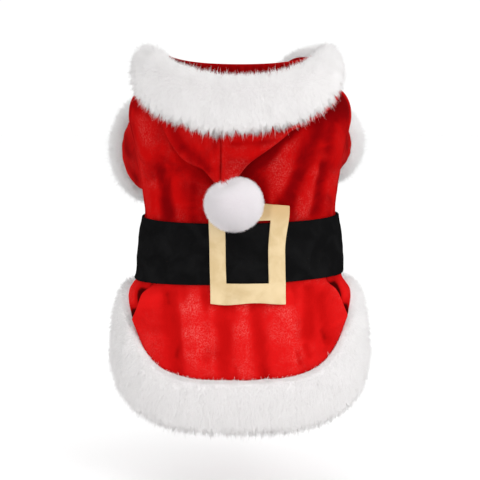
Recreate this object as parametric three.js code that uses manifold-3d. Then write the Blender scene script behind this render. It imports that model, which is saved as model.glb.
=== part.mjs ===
// A winter coat for a small dog, with a pointed hood thrown back, a wide belt and plush trims.
// It is hollow, upright and filled out as on a wearer, neck up. Millimetres, +Z up.
// X runs across the back, -Y is the back side, +Y the belly side.
// The origin is the middle of the neck opening.
import * as THREE from 'three';
import { mergeVertices } from 'three/addons/utils/BufferGeometryUtils.js';
import Module from 'manifold-3d';

// Cloth and trims
const CLOTH = 1.5;
const SEAM_GAP = 0.3;
const BELT_THICKNESS = 2.2;
const BUCKLE_THICKNESS = 1.8;
const HEM_PLUSH = 12;
const CUFF_PLUSH = 12;
const CUFF_LENGTH = 24;
const PLUSH_SQUARE = 2.6;
const PLUSH_ROUND = 0.5;
const CASING_THICKNESS = 1.8;
const CASING_FLARE = 0.03;

// The body's rings have slightly squared corners.
const RING_POWER = 2.2;

// Half width, depth of the back and depth of the belly at each height, lowest first.
const BODY_RINGS = [
  { z: -310, side: 102, back: 60, belly: 53 },
  { z: -255, side: 102.5, back: 63, belly: 53 },
  { z: -225, side: 100, back: 63, belly: 53 },
  { z: -205, side: 98, back: 62, belly: 52 },
  { z: -190, side: 95.5, back: 59, belly: 51 },
  { z: -178, side: 87.5, back: 56, belly: 50 },
  { z: -160, side: 86, back: 54, belly: 50 },
  { z: -140, side: 84, back: 53, belly: 50 },
  { z: -123, side: 81.5, back: 53, belly: 51 },
  { z: -102, side: 83.5, back: 54, belly: 52 },
  { z: -82, side: 86.5, back: 54, belly: 53 },
  { z: -61, side: 91, back: 53, belly: 52 },
  { z: -42, side: 94.5, back: 51, belly: 50 },
  { z: -30, side: 93, back: 49, belly: 47 },
  { z: -22, side: 88.5, back: 47, belly: 44 },
  { z: -14, side: 79, back: 44, belly: 41 },
  { z: -8, side: 69, back: 42, belly: 38.5 },
  { z: -3, side: 59, back: 40, belly: 36 },
  { z: 6, side: 52, back: 37, belly: 33 },
];

// Lines that run round the body, by angle from the middle of the back: the neck seam, the top of the
// neck casing, the seam of the hem, the lower edge of the hem's plush, and the belt's two edges.
const ROUND_LINES = [
  { angle: 0, neck: -3, casing: 4.5, hem: -256.5, plush: -302, beltTop: -129.5, beltBottom: -176.5 },
  { angle: 22, neck: -3, casing: 5, hem: -255, plush: -301, beltTop: -129.3, beltBottom: -176.3 },
  { angle: 38, neck: -3, casing: 6, hem: -248, plush: -297, beltTop: -129, beltBottom: -176 },
  { angle: 52, neck: -3, casing: 7.2, hem: -233, plush: -290, beltTop: -128.5, beltBottom: -175.5 },
  { angle: 64, neck: -3, casing: 8.3, hem: -215, plush: -283, beltTop: -128, beltBottom: -175 },
  { angle: 77, neck: -3, casing: 9.2, hem: -198, plush: -273, beltTop: -127.5, beltBottom: -174.6 },
  { angle: 90, neck: -3.5, casing: 9.5, hem: -188, plush: -260, beltTop: -127, beltBottom: -174.5 },
  { angle: 110, neck: -6, casing: 6.5, hem: -184, plush: -243, beltTop: -127, beltBottom: -174.5 },
  { angle: 140, neck: -14, casing: -3, hem: -183, plush: -232, beltTop: -127, beltBottom: -174.5 },
  { angle: 180, neck: -22, casing: -13, hem: -183, plush: -229, beltTop: -127, beltBottom: -174.5 },
];
// The belt and the hem climb a little from their left side to their right side.
const LINE_CLIMB = { beltTop: 1.2, beltBottom: 3.2, hem: 1.6 };

// The hood's plush trim all round the neck, by angle from mid back, left side first: its lower edge
// on the body, how thick it is, how high the hood's rim under it stands off the body, and how far
// below the neck seam that rim starts. It lies more to the left at the back, and stands up most at
// the right of the throat, where the rim starts above the seam.
const HOOD_TRIM = [
  { angle: -180, lower: -53, thickness: 12, rim: 12, drop: 0 },
  { angle: -150, lower: -41, thickness: 13, rim: 12, drop: 0 },
  { angle: -120, lower: -24, thickness: 16, rim: 12, drop: 0 },
  { angle: -90, lower: -15, thickness: 20, rim: 12, drop: 0 },
  { angle: -72, lower: -19, thickness: 20, rim: 12, drop: 1 },
  { angle: -56, lower: -29, thickness: 17, rim: 12, drop: 2 },
  { angle: -42, lower: -38, thickness: 14, rim: 12, drop: 3 },
  { angle: -20, lower: -50, thickness: 12, rim: 12.5, drop: 4.5 },
  { angle: -8, lower: -54, thickness: 12, rim: 13, drop: 5 },
  { angle: 20, lower: -48, thickness: 12, rim: 13, drop: 5 },
  { angle: 42, lower: -35, thickness: 13, rim: 12, drop: 3 },
  { angle: 56, lower: -25, thickness: 15, rim: 12, drop: 2 },
  { angle: 72, lower: -16, thickness: 17, rim: 12, drop: 1 },
  { angle: 90, lower: -12, thickness: 15, rim: 12, drop: 0 },
  { angle: 112, lower: -19, thickness: 17, rim: 14, drop: -2 },
  { angle: 135, lower: -32, thickness: 17, rim: 16, drop: -11 },
  { angle: 155, lower: -44, thickness: 15, rim: 14, drop: -10 },
  { angle: 180, lower: -53, thickness: 12, rim: 12, drop: 0 },
];

// The pointed lower edge of the hood where it hangs below its trim, by distance across the back.
const HOOD_POINT = [
  { x: -68, bottom: -30 },
  { x: -62, bottom: -40 },
  { x: -56, bottom: -57 },
  { x: -49, bottom: -70 },
  { x: -40, bottom: -74.5 },
  { x: -31, bottom: -77.5 },
  { x: -22, bottom: -87.5 },
  { x: -12, bottom: -96 },
  { x: -4, bottom: -89 },
  { x: 7, bottom: -76 },
  { x: 25, bottom: -62.5 },
  { x: 35, bottom: -54 },
  { x: 47, bottom: -41 },
  { x: 56, bottom: -32 },
];
const HOOD_SEAM_X = -15;
const HOOD_SEAM_HALF_GAP = 0.18;
const HOOD_REST = 0.8;
const HOOD_LOW_HEIGHT = 7.5;
const HOOD_BELOW_TRIM = 2.5;
// The hood's point lies within this angle of mid back, and its place across is taken at this height.
const HOOD_POINT_SPAN = 60;
const HOOD_POINT_HEIGHT = -60;

// The angle of the side seam from mid back, at each share of the way from neck to hem. The belt
// covers the shares from BELT_SHARE_TOP to BELT_SHARE_BOTTOM.
const BELT_SHARE_TOP = 0.5;
const BELT_SHARE_BOTTOM = 0.7;
const SIDE_SEAM = [
  { share: 0, angle: 78 },
  { share: 0.5, angle: 78 },
  { share: 0.7, angle: 56 },
  { share: 1, angle: 63 },
];

// Soft troughs (negative height) and ridges, each along a straight line on the body.
const BACK_FOLDS = [
  { x1: -66, z1: -80, x2: -60, z2: -126, width: 6, height: -2.6 },
  { x1: -72, z1: -98, x2: -70, z2: -124, width: 5, height: 1.6 },
  { x1: 12, z1: -92, x2: 14, z2: -122, width: 9, height: -1.6 },
  { x1: 36, z1: -64, x2: 33, z2: -92, width: 8, height: 1.8 },
  { x1: 66, z1: -48, x2: 50, z2: -85, width: 8, height: -2.4 },
  { x1: 50, z1: -85, x2: 37, z2: -108, width: 7, height: -2 },
  { x1: 59, z1: -84, x2: 51, z2: -122, width: 6, height: 2 },
  { x1: 70, z1: -80, x2: 63, z2: -122, width: 5, height: -2 },
  { x1: -60, z1: -184, x2: -53, z2: -249, width: 7, height: -2.6 },
  { x1: -40, z1: -194, x2: -36, z2: -244, width: 8, height: 2.2 },
  { x1: -13, z1: -186, x2: -12, z2: -252, width: 7, height: -2 },
  { x1: 1, z1: -192, x2: 2, z2: -250, width: 7, height: 1.6 },
  { x1: 12, z1: -196, x2: 21, z2: -254, width: 6, height: -2.6 },
  { x1: 33, z1: -196, x2: 40, z2: -240, width: 10, height: 2.6 },
  { x1: 58, z1: -182, x2: 58, z2: -220, width: 5, height: -2.2 },
  { x1: 66, z1: -188, x2: 74, z2: -224, width: 5, height: -1.8 },
];
const BELLY_FOLDS = [
  { x1: -30, z1: -60, x2: -36, z2: -126, width: 9, height: -2 },
  { x1: -8, z1: -70, x2: -6, z2: -122, width: 8, height: 1.6 },
  { x1: 18, z1: -56, x2: 12, z2: -120, width: 9, height: -1.8 },
  { x1: 44, z1: -112, x2: 40, z2: -127, width: 6, height: -1.5 },
  { x1: 72, z1: -112, x2: 70, z2: -127, width: 6, height: -1.6 },
  { x1: -66, z1: -116, x2: -62, z2: -127, width: 6, height: -1.4 },
];
const FOLD_UNDER_BELT = 0.12;
const BELT_FADE = 9;
const FLANK_FADE = 0.25;

// Below the belt the back panel stands proud of the side panel beside it, over a lap.
const LAP_LIFT = 4.6;
const LAP_ANGLE = 6;
const LAP_MIDDLE_SHARE = 0.85;
const LAP_HALF_SPAN = 0.075;
const LAP_EDGE_SHARE = 0.72;

// One row for each sleeve: its armhole on the body and the ring where the cuff is sewn on.
const SLEEVES = [
  { name: 'left', side: -1, angle: 113, z: -72, spanAngle: 26, halfHeight: 39,
    endX: 78, endY: 62, endZ: -76, endHalfWidth: 26, endHalfHeight: 37 },
  { name: 'right', side: 1, angle: 113, z: -71, spanAngle: 25, halfHeight: 33,
    endX: 73, endY: 62, endZ: -71, endHalfWidth: 25, endHalfHeight: 27 },
];
const SLEEVE_TILT = 5;
const SLEEVE_PULL = 0.35;
const ARMHOLE_DEPTH = 34;

// The pompom, and the notch in it beside the hood's tip, to which it is sewn. Its lower back lies
// flat over the buckle, and its upper back reaches further in, up to the tip.
const POMPOM = { x: -5, y: -77, z: -105.5, halfWidth: 24.6, halfHeight: 23.5, front: 23,
  lowBack: 17, highBack: 24.2 };
const POMPOM_NOTCH = { x: -0.33, y: 0, z: 0.94, depth: 0.12, width: 0.36 };

// The flat soft buckle frame: its corners and its window, across the back and up.
const BUCKLE = { left: -26, right: 36, top: -109.5, bottom: -192.5, topRight: 4.5, wave: 0.7 };
const BUCKLE_WINDOW = { left: -12, right: 22.5, top: -122.5, bottom: -175.5 };
const BUCKLE_LEANS_FROM = -150;

// How finely each piece is divided.
const COLUMNS_BACK = 28;
const COLUMNS_BELLY = 24;
const ROWS_BODY = 15;
const ROWS_BELLY = 10;
const ROWS_BELT = 4;
const ROWS_SKIRT = 10;
const ROWS_BELLY_SKIRT = 4;
const ROWS_TRIM = 5;
const ROWS_HOOD_POINT = 3;
const ROWS_HOOD_INNER = 9;
const COLUMNS_HOOD_BACK = 13;
const COLUMNS_HOOD_THROAT = 9;
const STEPS_HOOD_TURN = 4;
const STEPS_ARMHOLE = 24;
const ROWS_SLEEVE = 6;
const ROWS_CASING = 2;
const CELLS_WINDOW_ACROSS = 6;
const CELLS_WINDOW_UP = 8;
const STEPS_POMPOM = 24;
const ROWS_POMPOM = 14;
const MERIDIAN_STEP = 1;
const MERIDIAN_LOWEST = -120;
const MERGE_WITHIN = 0.001;

const RED_VELVET = { color: 0xc01218, roughness: 0.75, metalness: 0 };
const BLACK_VELVET = { color: 0x121212, roughness: 0.9, metalness: 0 };
const WHITE_PLUSH = { color: 0xe9e5e2, roughness: 1, metalness: 0 };
const GOLD_CLOTH = { color: 0xe6cd95, roughness: 0.45, metalness: 0.2 };

const wasm = await Module();
wasm.setup();

const radians = THREE.MathUtils.degToRad;
const mix = THREE.MathUtils.lerp;
const ease = THREE.MathUtils.smoothstep;

// Reads a column of a table at any place between its rows, on a smooth curve through them.
function readTable(rows, key, column, at) {
  const last = rows.length - 1;
  if (at <= rows[0][key]) {
    return rows[0][column];
  }
  if (at >= rows[last][key]) {
    return rows[last][column];
  }
  let i = 0;
  while (rows[i + 1][key] < at) {
    i += 1;
  }
  const slope = (j) => (j === 0 || j === last ? 0
    : (rows[j + 1][column] - rows[j - 1][column]) / (rows[j + 1][key] - rows[j - 1][key]));
  const span = rows[i + 1][key] - rows[i][key];
  const t = (at - rows[i][key]) / span;
  const tt = t * t;
  const ttt = tt * t;
  return (2 * ttt - 3 * tt + 1) * rows[i][column] + (ttt - 2 * tt + t) * span * slope(i)
    + (3 * tt - 2 * ttt) * rows[i + 1][column] + (ttt - tt) * span * slope(i + 1);
}

// Angles run from mid back, 0, to the throat, 180 or -180.
function foldedAngle(angle) {
  const turned = ((angle % 360) + 360) % 360;
  return turned > 180 ? 360 - turned : turned;
}

function roundLine(line, angle) {
  const climb = (LINE_CLIMB[line] ?? 0) * Math.sin(radians(angle));
  return readTable(ROUND_LINES, 'angle', line, foldedAngle(angle)) + climb;
}

function trimLine(column, angle) {
  return readTable(HOOD_TRIM, 'angle', column, angle);
}

function roundedPower(value) {
  return Math.sign(value) * Math.abs(value) ** (2 / RING_POWER);
}

// The smooth body without folds.
function bodyPoint(angle, z) {
  const turn = radians(angle);
  const depth = Math.cos(turn) > 0 ? 'back' : 'belly';
  return new THREE.Vector3(
    readTable(BODY_RINGS, 'z', 'side', z) * roundedPower(Math.sin(turn)),
    -readTable(BODY_RINGS, 'z', depth, z) * roundedPower(Math.cos(turn)),
    z,
  );
}

function bodyNormal(angle, z) {
  const across = bodyPoint(angle + 1, z).sub(bodyPoint(angle - 1, z));
  const up = bodyPoint(angle, z + 1).sub(bodyPoint(angle, z - 1));
  return across.cross(up).normalize();
}

function foldHeight(folds, x, z) {
  let height = 0;
  for (const fold of folds) {
    const runX = fold.x2 - fold.x1;
    const runZ = fold.z2 - fold.z1;
    const share = ((x - fold.x1) * runX + (z - fold.z1) * runZ) / (runX * runX + runZ * runZ);
    const held = THREE.MathUtils.clamp(share, 0, 1);
    const away = Math.hypot(x - fold.x1 - held * runX, z - fold.z1 - held * runZ);
    height += fold.height * Math.exp(-((away / fold.width) ** 2));
  }
  return height;
}

// A point on the coat's outer cloth with its folds, moved out along the body's normal.
function coatPoint(angle, z, out = 0) {
  const point = bodyPoint(angle, z);
  const folds = Math.cos(radians(angle)) > 0 ? BACK_FOLDS : BELLY_FOLDS;
  const top = roundLine('beltTop', angle);
  const bottom = roundLine('beltBottom', angle);
  const free = Math.max(ease(z, top, top + BELT_FADE), 1 - ease(z, bottom - BELT_FADE, bottom));
  const height = foldHeight(folds, point.x, z) * mix(FOLD_UNDER_BELT, 1, free);
  const flank = ease(Math.abs(Math.cos(radians(angle))), 0, FLANK_FADE);
  return point.addScaledVector(bodyNormal(angle, z), height * flank + out);
}

function sideSeamAngle(share) {
  return readTable(SIDE_SEAM, 'share', 'angle', share);
}

// Height on the body at a share of the way from neck to hem.
function heightAt(angle, share) {
  const top = roundLine('beltTop', angle);
  const bottom = roundLine('beltBottom', angle);
  if (share <= BELT_SHARE_TOP) {
    return mix(roundLine('neck', angle), top, share / BELT_SHARE_TOP);
  }
  if (share <= BELT_SHARE_BOTTOM) {
    return mix(top, bottom, (share - BELT_SHARE_TOP) / (BELT_SHARE_BOTTOM - BELT_SHARE_TOP));
  }
  return mix(bottom, roundLine('hem', angle), (share - BELT_SHARE_BOTTOM) / (1 - BELT_SHARE_BOTTOM));
}

// Shares of the way from neck to hem at which a panel has a row of points.
function rowShares(rowsBody, rowsSkirt) {
  const shares = [];
  for (let i = 0; i < rowsBody; i += 1) {
    shares.push((BELT_SHARE_TOP * i) / rowsBody);
  }
  for (let i = 0; i < ROWS_BELT; i += 1) {
    shares.push(mix(BELT_SHARE_TOP, BELT_SHARE_BOTTOM, i / ROWS_BELT));
  }
  for (let i = 0; i <= rowsSkirt; i += 1) {
    shares.push(mix(BELT_SHARE_BOTTOM, 1, i / rowsSkirt));
  }
  return shares;
}

// A closed mesh from its points and triangles, with its faces turned outwards.
function closedGeometry(points, triangles) {
  let volume = 0;
  for (const [a, b, c] of triangles) {
    volume += points[a].dot(points[b].clone().cross(points[c]));
  }
  const ordered = volume > 0 ? triangles : triangles.map(([a, b, c]) => [a, c, b]);
  const geometry = new THREE.BufferGeometry();
  geometry.setAttribute('position', new THREE.Float32BufferAttribute(
    points.flatMap((point) => point.toArray()), 3));
  geometry.setIndex(ordered.flat());
  return mergeVertices(geometry, MERGE_WITHIN);
}

// A wall of cloth between two grids of points. Where around is true the columns close on
// themselves. keep says which cells are cloth, so a frame can have a window.
function clothWall(outer, inner, { around = false, keep = () => true } = {}) {
  const rows = outer.length;
  const columns = outer[0].length;
  const points = [...outer.flat(), ...inner.flat()];
  const faces = rows * columns;
  const cellColumns = around ? columns : columns - 1;
  const at = (i, j, layer) => layer * faces + i * columns + (j % columns);
  const held = (i, j) => {
    if (i < 0 || i >= rows - 1 || (!around && (j < 0 || j >= cellColumns))) {
      return false;
    }
    return keep(i, (j + cellColumns) % cellColumns);
  };
  const triangles = [];
  const quad = (a, b, c, d) => triangles.push([a, b, c], [a, c, d]);
  for (let i = 0; i < rows - 1; i += 1) {
    for (let j = 0; j < cellColumns; j += 1) {
      if (!held(i, j)) {
        continue;
      }
      quad(at(i, j, 0), at(i + 1, j, 0), at(i + 1, j + 1, 0), at(i, j + 1, 0));
      quad(at(i, j, 1), at(i, j + 1, 1), at(i + 1, j + 1, 1), at(i + 1, j, 1));
      if (!held(i - 1, j)) {
        quad(at(i, j, 0), at(i, j + 1, 0), at(i, j + 1, 1), at(i, j, 1));
      }
      if (!held(i + 1, j)) {
        quad(at(i + 1, j + 1, 0), at(i + 1, j, 0), at(i + 1, j, 1), at(i + 1, j + 1, 1));
      }
      if (!held(i, j - 1)) {
        quad(at(i + 1, j, 0), at(i, j, 0), at(i, j, 1), at(i + 1, j, 1));
      }
      if (!held(i, j + 1)) {
        quad(at(i, j + 1, 0), at(i + 1, j + 1, 0), at(i + 1, j + 1, 1), at(i, j + 1, 1));
      }
    }
  }
  return closedGeometry(points, triangles);
}

function toSolid(geometry) {
  return new wasm.Manifold(new wasm.Mesh({
    numProp: 3,
    vertProperties: new Float32Array(geometry.getAttribute('position').array),
    triVerts: new Uint32Array(geometry.index.array),
  }));
}

function toGeometry(solid) {
  const cut = solid.getMesh();
  const geometry = new THREE.BufferGeometry();
  geometry.setAttribute('position', new THREE.Float32BufferAttribute(cut.vertProperties, 3));
  geometry.setIndex([...cut.triVerts]);
  return mergeVertices(geometry, MERGE_WITHIN);
}

// How far the back panel's side edge is raised over the side panel, as a share. It starts at the
// belt's lower edge and ends in the hem's seam.
function liftShare(share) {
  const rise = ease(share, BELT_SHARE_BOTTOM, BELT_SHARE_BOTTOM + LAP_HALF_SPAN);
  return rise * (1 - ease(share, LAP_MIDDLE_SHARE + LAP_HALF_SPAN, 1));
}

// How far the side panel runs on under that raised edge, as a share.
function lapShare(share) {
  return Math.max(0, 1 - Math.abs(share - LAP_MIDDLE_SHARE) / LAP_HALF_SPAN);
}

function backPanel() {
  const gridAt = (out) => rowShares(ROWS_BODY, ROWS_SKIRT).map((share) => {
    const seam = sideSeamAngle(share);
    const row = [];
    for (let j = 0; j <= COLUMNS_BACK; j += 1) {
      const across = (2 * j) / COLUMNS_BACK - 1;
      const angle = across * (seam - seamShift(seam, share));
      const lift = LAP_LIFT * liftShare(share) * ease(Math.abs(across), LAP_EDGE_SHARE, 1);
      row.push(coatPoint(angle, heightAt(angle, share), out + lift));
    }
    return row;
  });
  return clothWall(gridAt(0), gridAt(-CLOTH));
}

// Half of the seam's gap as an angle.
function seamShift(seam, share) {
  const from = bodyPoint(seam, heightAt(seam, share));
  const to = bodyPoint(seam + 1, heightAt(seam, share));
  return SEAM_GAP / 2 / from.distanceTo(to);
}

function bellyPanel() {
  const gridAt = (out) => rowShares(ROWS_BELLY, ROWS_BELLY_SKIRT).map((share) => {
    const seam = sideSeamAngle(share);
    const lap = LAP_ANGLE * lapShare(share);
    const start = seam + seamShift(seam, share) - lap;
    const row = [];
    for (let j = 0; j <= COLUMNS_BELLY; j += 1) {
      const angle = mix(start, 360 - start, j / COLUMNS_BELLY);
      row.push(coatPoint(angle, heightAt(angle, share), out));
    }
    return row;
  });
  let solid = toSolid(clothWall(gridAt(0), gridAt(-CLOTH)));
  for (const sleeve of SLEEVES) {
    solid = solid.subtract(toSolid(armholeCutter(sleeve)));
  }
  return toGeometry(solid);
}

// The armhole's edge on the body: grow makes it larger all round.
function armholeRing(sleeve, grow = 0) {
  const ring = [];
  const mid = bodyPoint(sleeve.angle, sleeve.z);
  const perDegree = mid.distanceTo(bodyPoint(sleeve.angle + 1, sleeve.z));
  for (let k = 0; k < STEPS_ARMHOLE; k += 1) {
    const turn = (2 * Math.PI * k) / STEPS_ARMHOLE;
    const angle = sleeve.angle - (sleeve.spanAngle + grow / perDegree) * Math.cos(turn);
    const z = sleeve.z + (sleeve.halfHeight + grow) * Math.sin(turn);
    ring.push(coatPoint(sleeve.side * angle, z));
  }
  return ring;
}

function armholeCutter(sleeve) {
  const ring = armholeRing(sleeve, SEAM_GAP);
  const out = bodyNormal(sleeve.side * sleeve.angle, sleeve.z).multiplyScalar(ARMHOLE_DEPTH / 2);
  const near = ring.map((point) => point.clone().add(out));
  const far = ring.map((point) => point.clone().sub(out));
  const points = [...near, ...far, average(near), average(far)];
  const count = ring.length;
  const triangles = [];
  for (let k = 0; k < count; k += 1) {
    const next = (k + 1) % count;
    triangles.push([k, next, count + next], [k, count + next, count + k]);
    triangles.push([next, k, 2 * count], [count + k, count + next, 2 * count + 1]);
  }
  return closedGeometry(points, triangles);
}

function average(points) {
  const sum = new THREE.Vector3();
  points.forEach((point) => sum.add(point));
  return sum.multiplyScalar(1 / points.length);
}

// The ring where the cuff is sewn to the sleeve, along the sleeve's end or past it.
function sleeveEndRing(sleeve, { grow = 0, along = 0 } = {}) {
  const ring = [];
  for (let k = 0; k < STEPS_ARMHOLE; k += 1) {
    const turn = (2 * Math.PI * k) / STEPS_ARMHOLE;
    const side = Math.cos(turn);
    ring.push(new THREE.Vector3(
      sleeve.side * (sleeve.endX + (sleeve.endHalfWidth + grow) * side),
      sleeve.endY + along - SLEEVE_TILT * side,
      sleeve.endZ + (sleeve.endHalfHeight + grow) * Math.sin(turn),
    ));
  }
  return ring;
}

// Each ring of a sleeve, moved in towards its own middle for the inner face.
function shrinkRing(ring, amount) {
  const middle = average(ring);
  return ring.map((point) => {
    const inward = middle.clone().sub(point).normalize();
    return point.clone().addScaledVector(inward, amount);
  });
}

function sleeveTube(sleeve) {
  const start = armholeRing(sleeve);
  const end = sleeveEndRing(sleeve);
  const forward = new THREE.Vector3(0, 1, 0);
  const outer = [];
  for (let i = 0; i <= ROWS_SLEEVE; i += 1) {
    const t = i / ROWS_SLEEVE;
    outer.push(start.map((point, k) => {
      const reach = point.distanceTo(end[k]);
      const curve = new THREE.CubicBezierCurve3(
        point,
        point.clone().addScaledVector(forward, reach * SLEEVE_PULL),
        end[k].clone().addScaledVector(forward, -reach * SLEEVE_PULL),
        end[k],
      );
      return curve.getPoint(t);
    }));
  }
  const inner = outer.map((ring) => shrinkRing(ring, CLOTH));
  return clothWall(outer, inner, { around: true });
}

// Plush is thin at both edges and full between them.
function plushFullness(share) {
  return (1 - Math.abs(2 * share - 1) ** PLUSH_SQUARE) ** PLUSH_ROUND;
}

function cuffRing(sleeve) {
  const outer = [];
  const inner = [];
  for (let i = 0; i <= ROWS_TRIM; i += 1) {
    const share = i / ROWS_TRIM;
    const along = SEAM_GAP + CUFF_LENGTH * share;
    outer.push(sleeveEndRing(sleeve, { grow: CUFF_PLUSH * plushFullness(share), along }));
    inner.push(sleeveEndRing(sleeve, { grow: -CLOTH, along }));
  }
  return clothWall(outer, inner, { around: true });
}

// Angles round the whole coat, close together over the back.
function roundAngles(seam) {
  const angles = [];
  for (let j = 0; j < COLUMNS_BACK; j += 1) {
    angles.push(seam * ((2 * j) / COLUMNS_BACK - 1));
  }
  for (let j = 0; j < COLUMNS_BELLY; j += 1) {
    angles.push(mix(seam, 360 - seam, j / COLUMNS_BELLY));
  }
  return angles;
}

function hemTrim() {
  const angles = roundAngles(sideSeamAngle(1));
  const gridAt = (thickness) => {
    const grid = [];
    for (let i = 0; i <= ROWS_TRIM; i += 1) {
      const share = i / ROWS_TRIM;
      grid.push(angles.map((angle) => {
        const top = roundLine('hem', angle) - SEAM_GAP;
        const z = mix(top, roundLine('plush', angle), share);
        return coatPoint(angle, z, thickness(share));
      }));
    }
    return grid;
  };
  return clothWall(gridAt((share) => HEM_PLUSH * plushFullness(share)), gridAt(() => -CLOTH),
    { around: true });
}

function beltRing() {
  const gridAt = (out) => {
    const grid = [];
    for (let i = 0; i <= ROWS_BELT; i += 1) {
      const share = mix(BELT_SHARE_TOP, BELT_SHARE_BOTTOM, i / ROWS_BELT);
      grid.push(roundAngles(sideSeamAngle(share)).map(
        (angle) => coatPoint(angle, heightAt(angle, share), out)));
    }
    return grid;
  };
  return clothWall(gridAt(SEAM_GAP + BELT_THICKNESS), gridAt(SEAM_GAP), { around: true });
}

function angleAcross(x, z) {
  const share = Math.abs(x) / readTable(BODY_RINGS, 'z', 'side', z);
  return Math.sign(x) * THREE.MathUtils.radToDeg(Math.asin(share ** (RING_POWER / 2)));
}

function buckleFrame() {
  const xs = frameStops(BUCKLE.left, BUCKLE_WINDOW.left, BUCKLE_WINDOW.right, BUCKLE.right,
    CELLS_WINDOW_ACROSS);
  const zs = frameStops(BUCKLE.top, BUCKLE_WINDOW.top, BUCKLE_WINDOW.bottom, BUCKLE.bottom,
    CELLS_WINDOW_UP);
  const lowest = SEAM_GAP + BELT_THICKNESS + SEAM_GAP;
  const gridAt = (out) => zs.map((z, i) => xs.map((x, j) => {
    const lean = BUCKLE.topRight * ease(x, 0, BUCKLE.right)
      * ease(z, BUCKLE_LEANS_FROM, BUCKLE.top);
    const wave = i === zs.length - 1 ? BUCKLE.wave * Math.sin(j) : 0;
    const across = x + lean;
    return coatPoint(angleAcross(across, z), z + wave, out);
  }));
  const inWindow = (i, j) => zs[i] <= BUCKLE_WINDOW.top && zs[i + 1] >= BUCKLE_WINDOW.bottom
    && xs[j] >= BUCKLE_WINDOW.left && xs[j + 1] <= BUCKLE_WINDOW.right;
  return clothWall(gridAt(lowest + BUCKLE_THICKNESS), gridAt(lowest),
    { keep: (i, j) => !inWindow(i, j) });
}

// Stops across a frame: two cells in each bar and several across the window.
function frameStops(from, windowFrom, windowTo, to, cells) {
  const stops = [from, (from + windowFrom) / 2];
  for (let i = 0; i <= cells; i += 1) {
    stops.push(mix(windowFrom, windowTo, i / cells));
  }
  stops.push((windowTo + to) / 2, to);
  return stops;
}

function neckCasing() {
  const angles = roundAngles(sideSeamAngle(0));
  const casingPoint = (angle, share, out) => {
    const seam = roundLine('neck', angle);
    const level = bodyPoint(angle, seam).setZ(0);
    const outward = level.clone().normalize();
    level.multiplyScalar(1 + CASING_FLARE * share).addScaledVector(outward, out);
    return level.setZ(mix(seam + SEAM_GAP, roundLine('casing', angle), share));
  };
  const gridAt = (out) => {
    const grid = [];
    for (let i = 0; i <= ROWS_CASING; i += 1) {
      grid.push(angles.map((angle) => casingPoint(angle, i / ROWS_CASING, out)));
    }
    return grid;
  };
  return clothWall(gridAt(0), gridAt(-CASING_THICKNESS), { around: true });
}

// Distance down the body from the neck seam, at one angle, and the way back to a height.
function meridian(angle) {
  const neck = roundLine('neck', angle);
  const stops = [{ along: 0, z: neck }];
  let last = bodyPoint(angle, neck);
  let along = 0;
  for (let z = neck - MERIDIAN_STEP; z > MERIDIAN_LOWEST; z -= MERIDIAN_STEP) {
    const point = bodyPoint(angle, z);
    along += point.distanceTo(last);
    last = point;
    stops.push({ along, z });
  }
  const read = (key, column, value) => {
    const first = stops[0][key];
    let i = 0;
    while (i < stops.length - 2 && Math.abs(stops[i + 1][key] - first) < Math.abs(value - first)) {
      i += 1;
    }
    const share = (value - stops[i][key]) / (stops[i + 1][key] - stops[i][key]);
    return mix(stops[i][column], stops[i + 1][column], share);
  };
  return {
    heightAt: (distance) => read('along', 'z', distance),
    distanceAt: (z) => read('z', 'along', z),
  };
}

// One section of the hood at an angle: distances down the body paired with heights off it. It runs
// from the rim down the outer layer, round the fold at the bottom and back up the inner layer.
function hoodSection(angle) {
  const line = meridian(angle);
  const trimEnd = line.distanceAt(trimLine('lower', angle));
  const belowTrim = trimEnd + HOOD_BELOW_TRIM;
  const across = bodyPoint(angle, HOOD_POINT_HEIGHT).x;
  const back = Math.abs(angle) < HOOD_POINT_SPAN;
  const point = back ? line.distanceAt(readTable(HOOD_POINT, 'x', 'bottom', across)) : 0;
  const end = Math.max(belowTrim, point);
  const radius = (HOOD_LOW_HEIGHT - HOOD_REST) / 2;
  const heightOf = (distance) => mix(trimLine('rim', angle), HOOD_LOW_HEIGHT,
    ease(distance / (end - radius), 0, 1));
  const rim = trimLine('drop', angle);
  const section = [];
  for (let i = 0; i <= ROWS_TRIM; i += 1) {
    const distance = mix(rim, trimEnd - radius, i / ROWS_TRIM);
    section.push(new THREE.Vector2(distance, heightOf(distance)));
  }
  for (let i = 1; i <= ROWS_HOOD_POINT; i += 1) {
    const distance = mix(trimEnd - radius, end - radius, i / ROWS_HOOD_POINT);
    section.push(new THREE.Vector2(distance, heightOf(distance)));
  }
  for (let i = 1; i <= STEPS_HOOD_TURN; i += 1) {
    const turn = (Math.PI * i) / STEPS_HOOD_TURN;
    section.push(new THREE.Vector2(end - radius + radius * Math.sin(turn),
      HOOD_REST + radius + radius * Math.cos(turn)));
  }
  for (let i = 1; i <= ROWS_HOOD_INNER; i += 1) {
    section.push(new THREE.Vector2(mix(end - radius, SEAM_GAP, i / ROWS_HOOD_INNER), HOOD_REST));
  }
  return { line, section };
}

// The section moved to its inner side by the cloth's thickness.
function insetSection(section) {
  return section.map((point, i) => {
    const before = section[Math.max(i - 1, 0)];
    const after = section[Math.min(i + 1, section.length - 1)];
    const run = after.clone().sub(before).normalize();
    return new THREE.Vector2(point.x + CLOTH * run.y, point.y - CLOTH * run.x);
  });
}

function sectionPoints(line, angle, section) {
  return section.map((place) => {
    const z = line.heightAt(place.x);
    return bodyPoint(angle, z).addScaledVector(bodyNormal(angle, z), place.y);
  });
}

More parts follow.
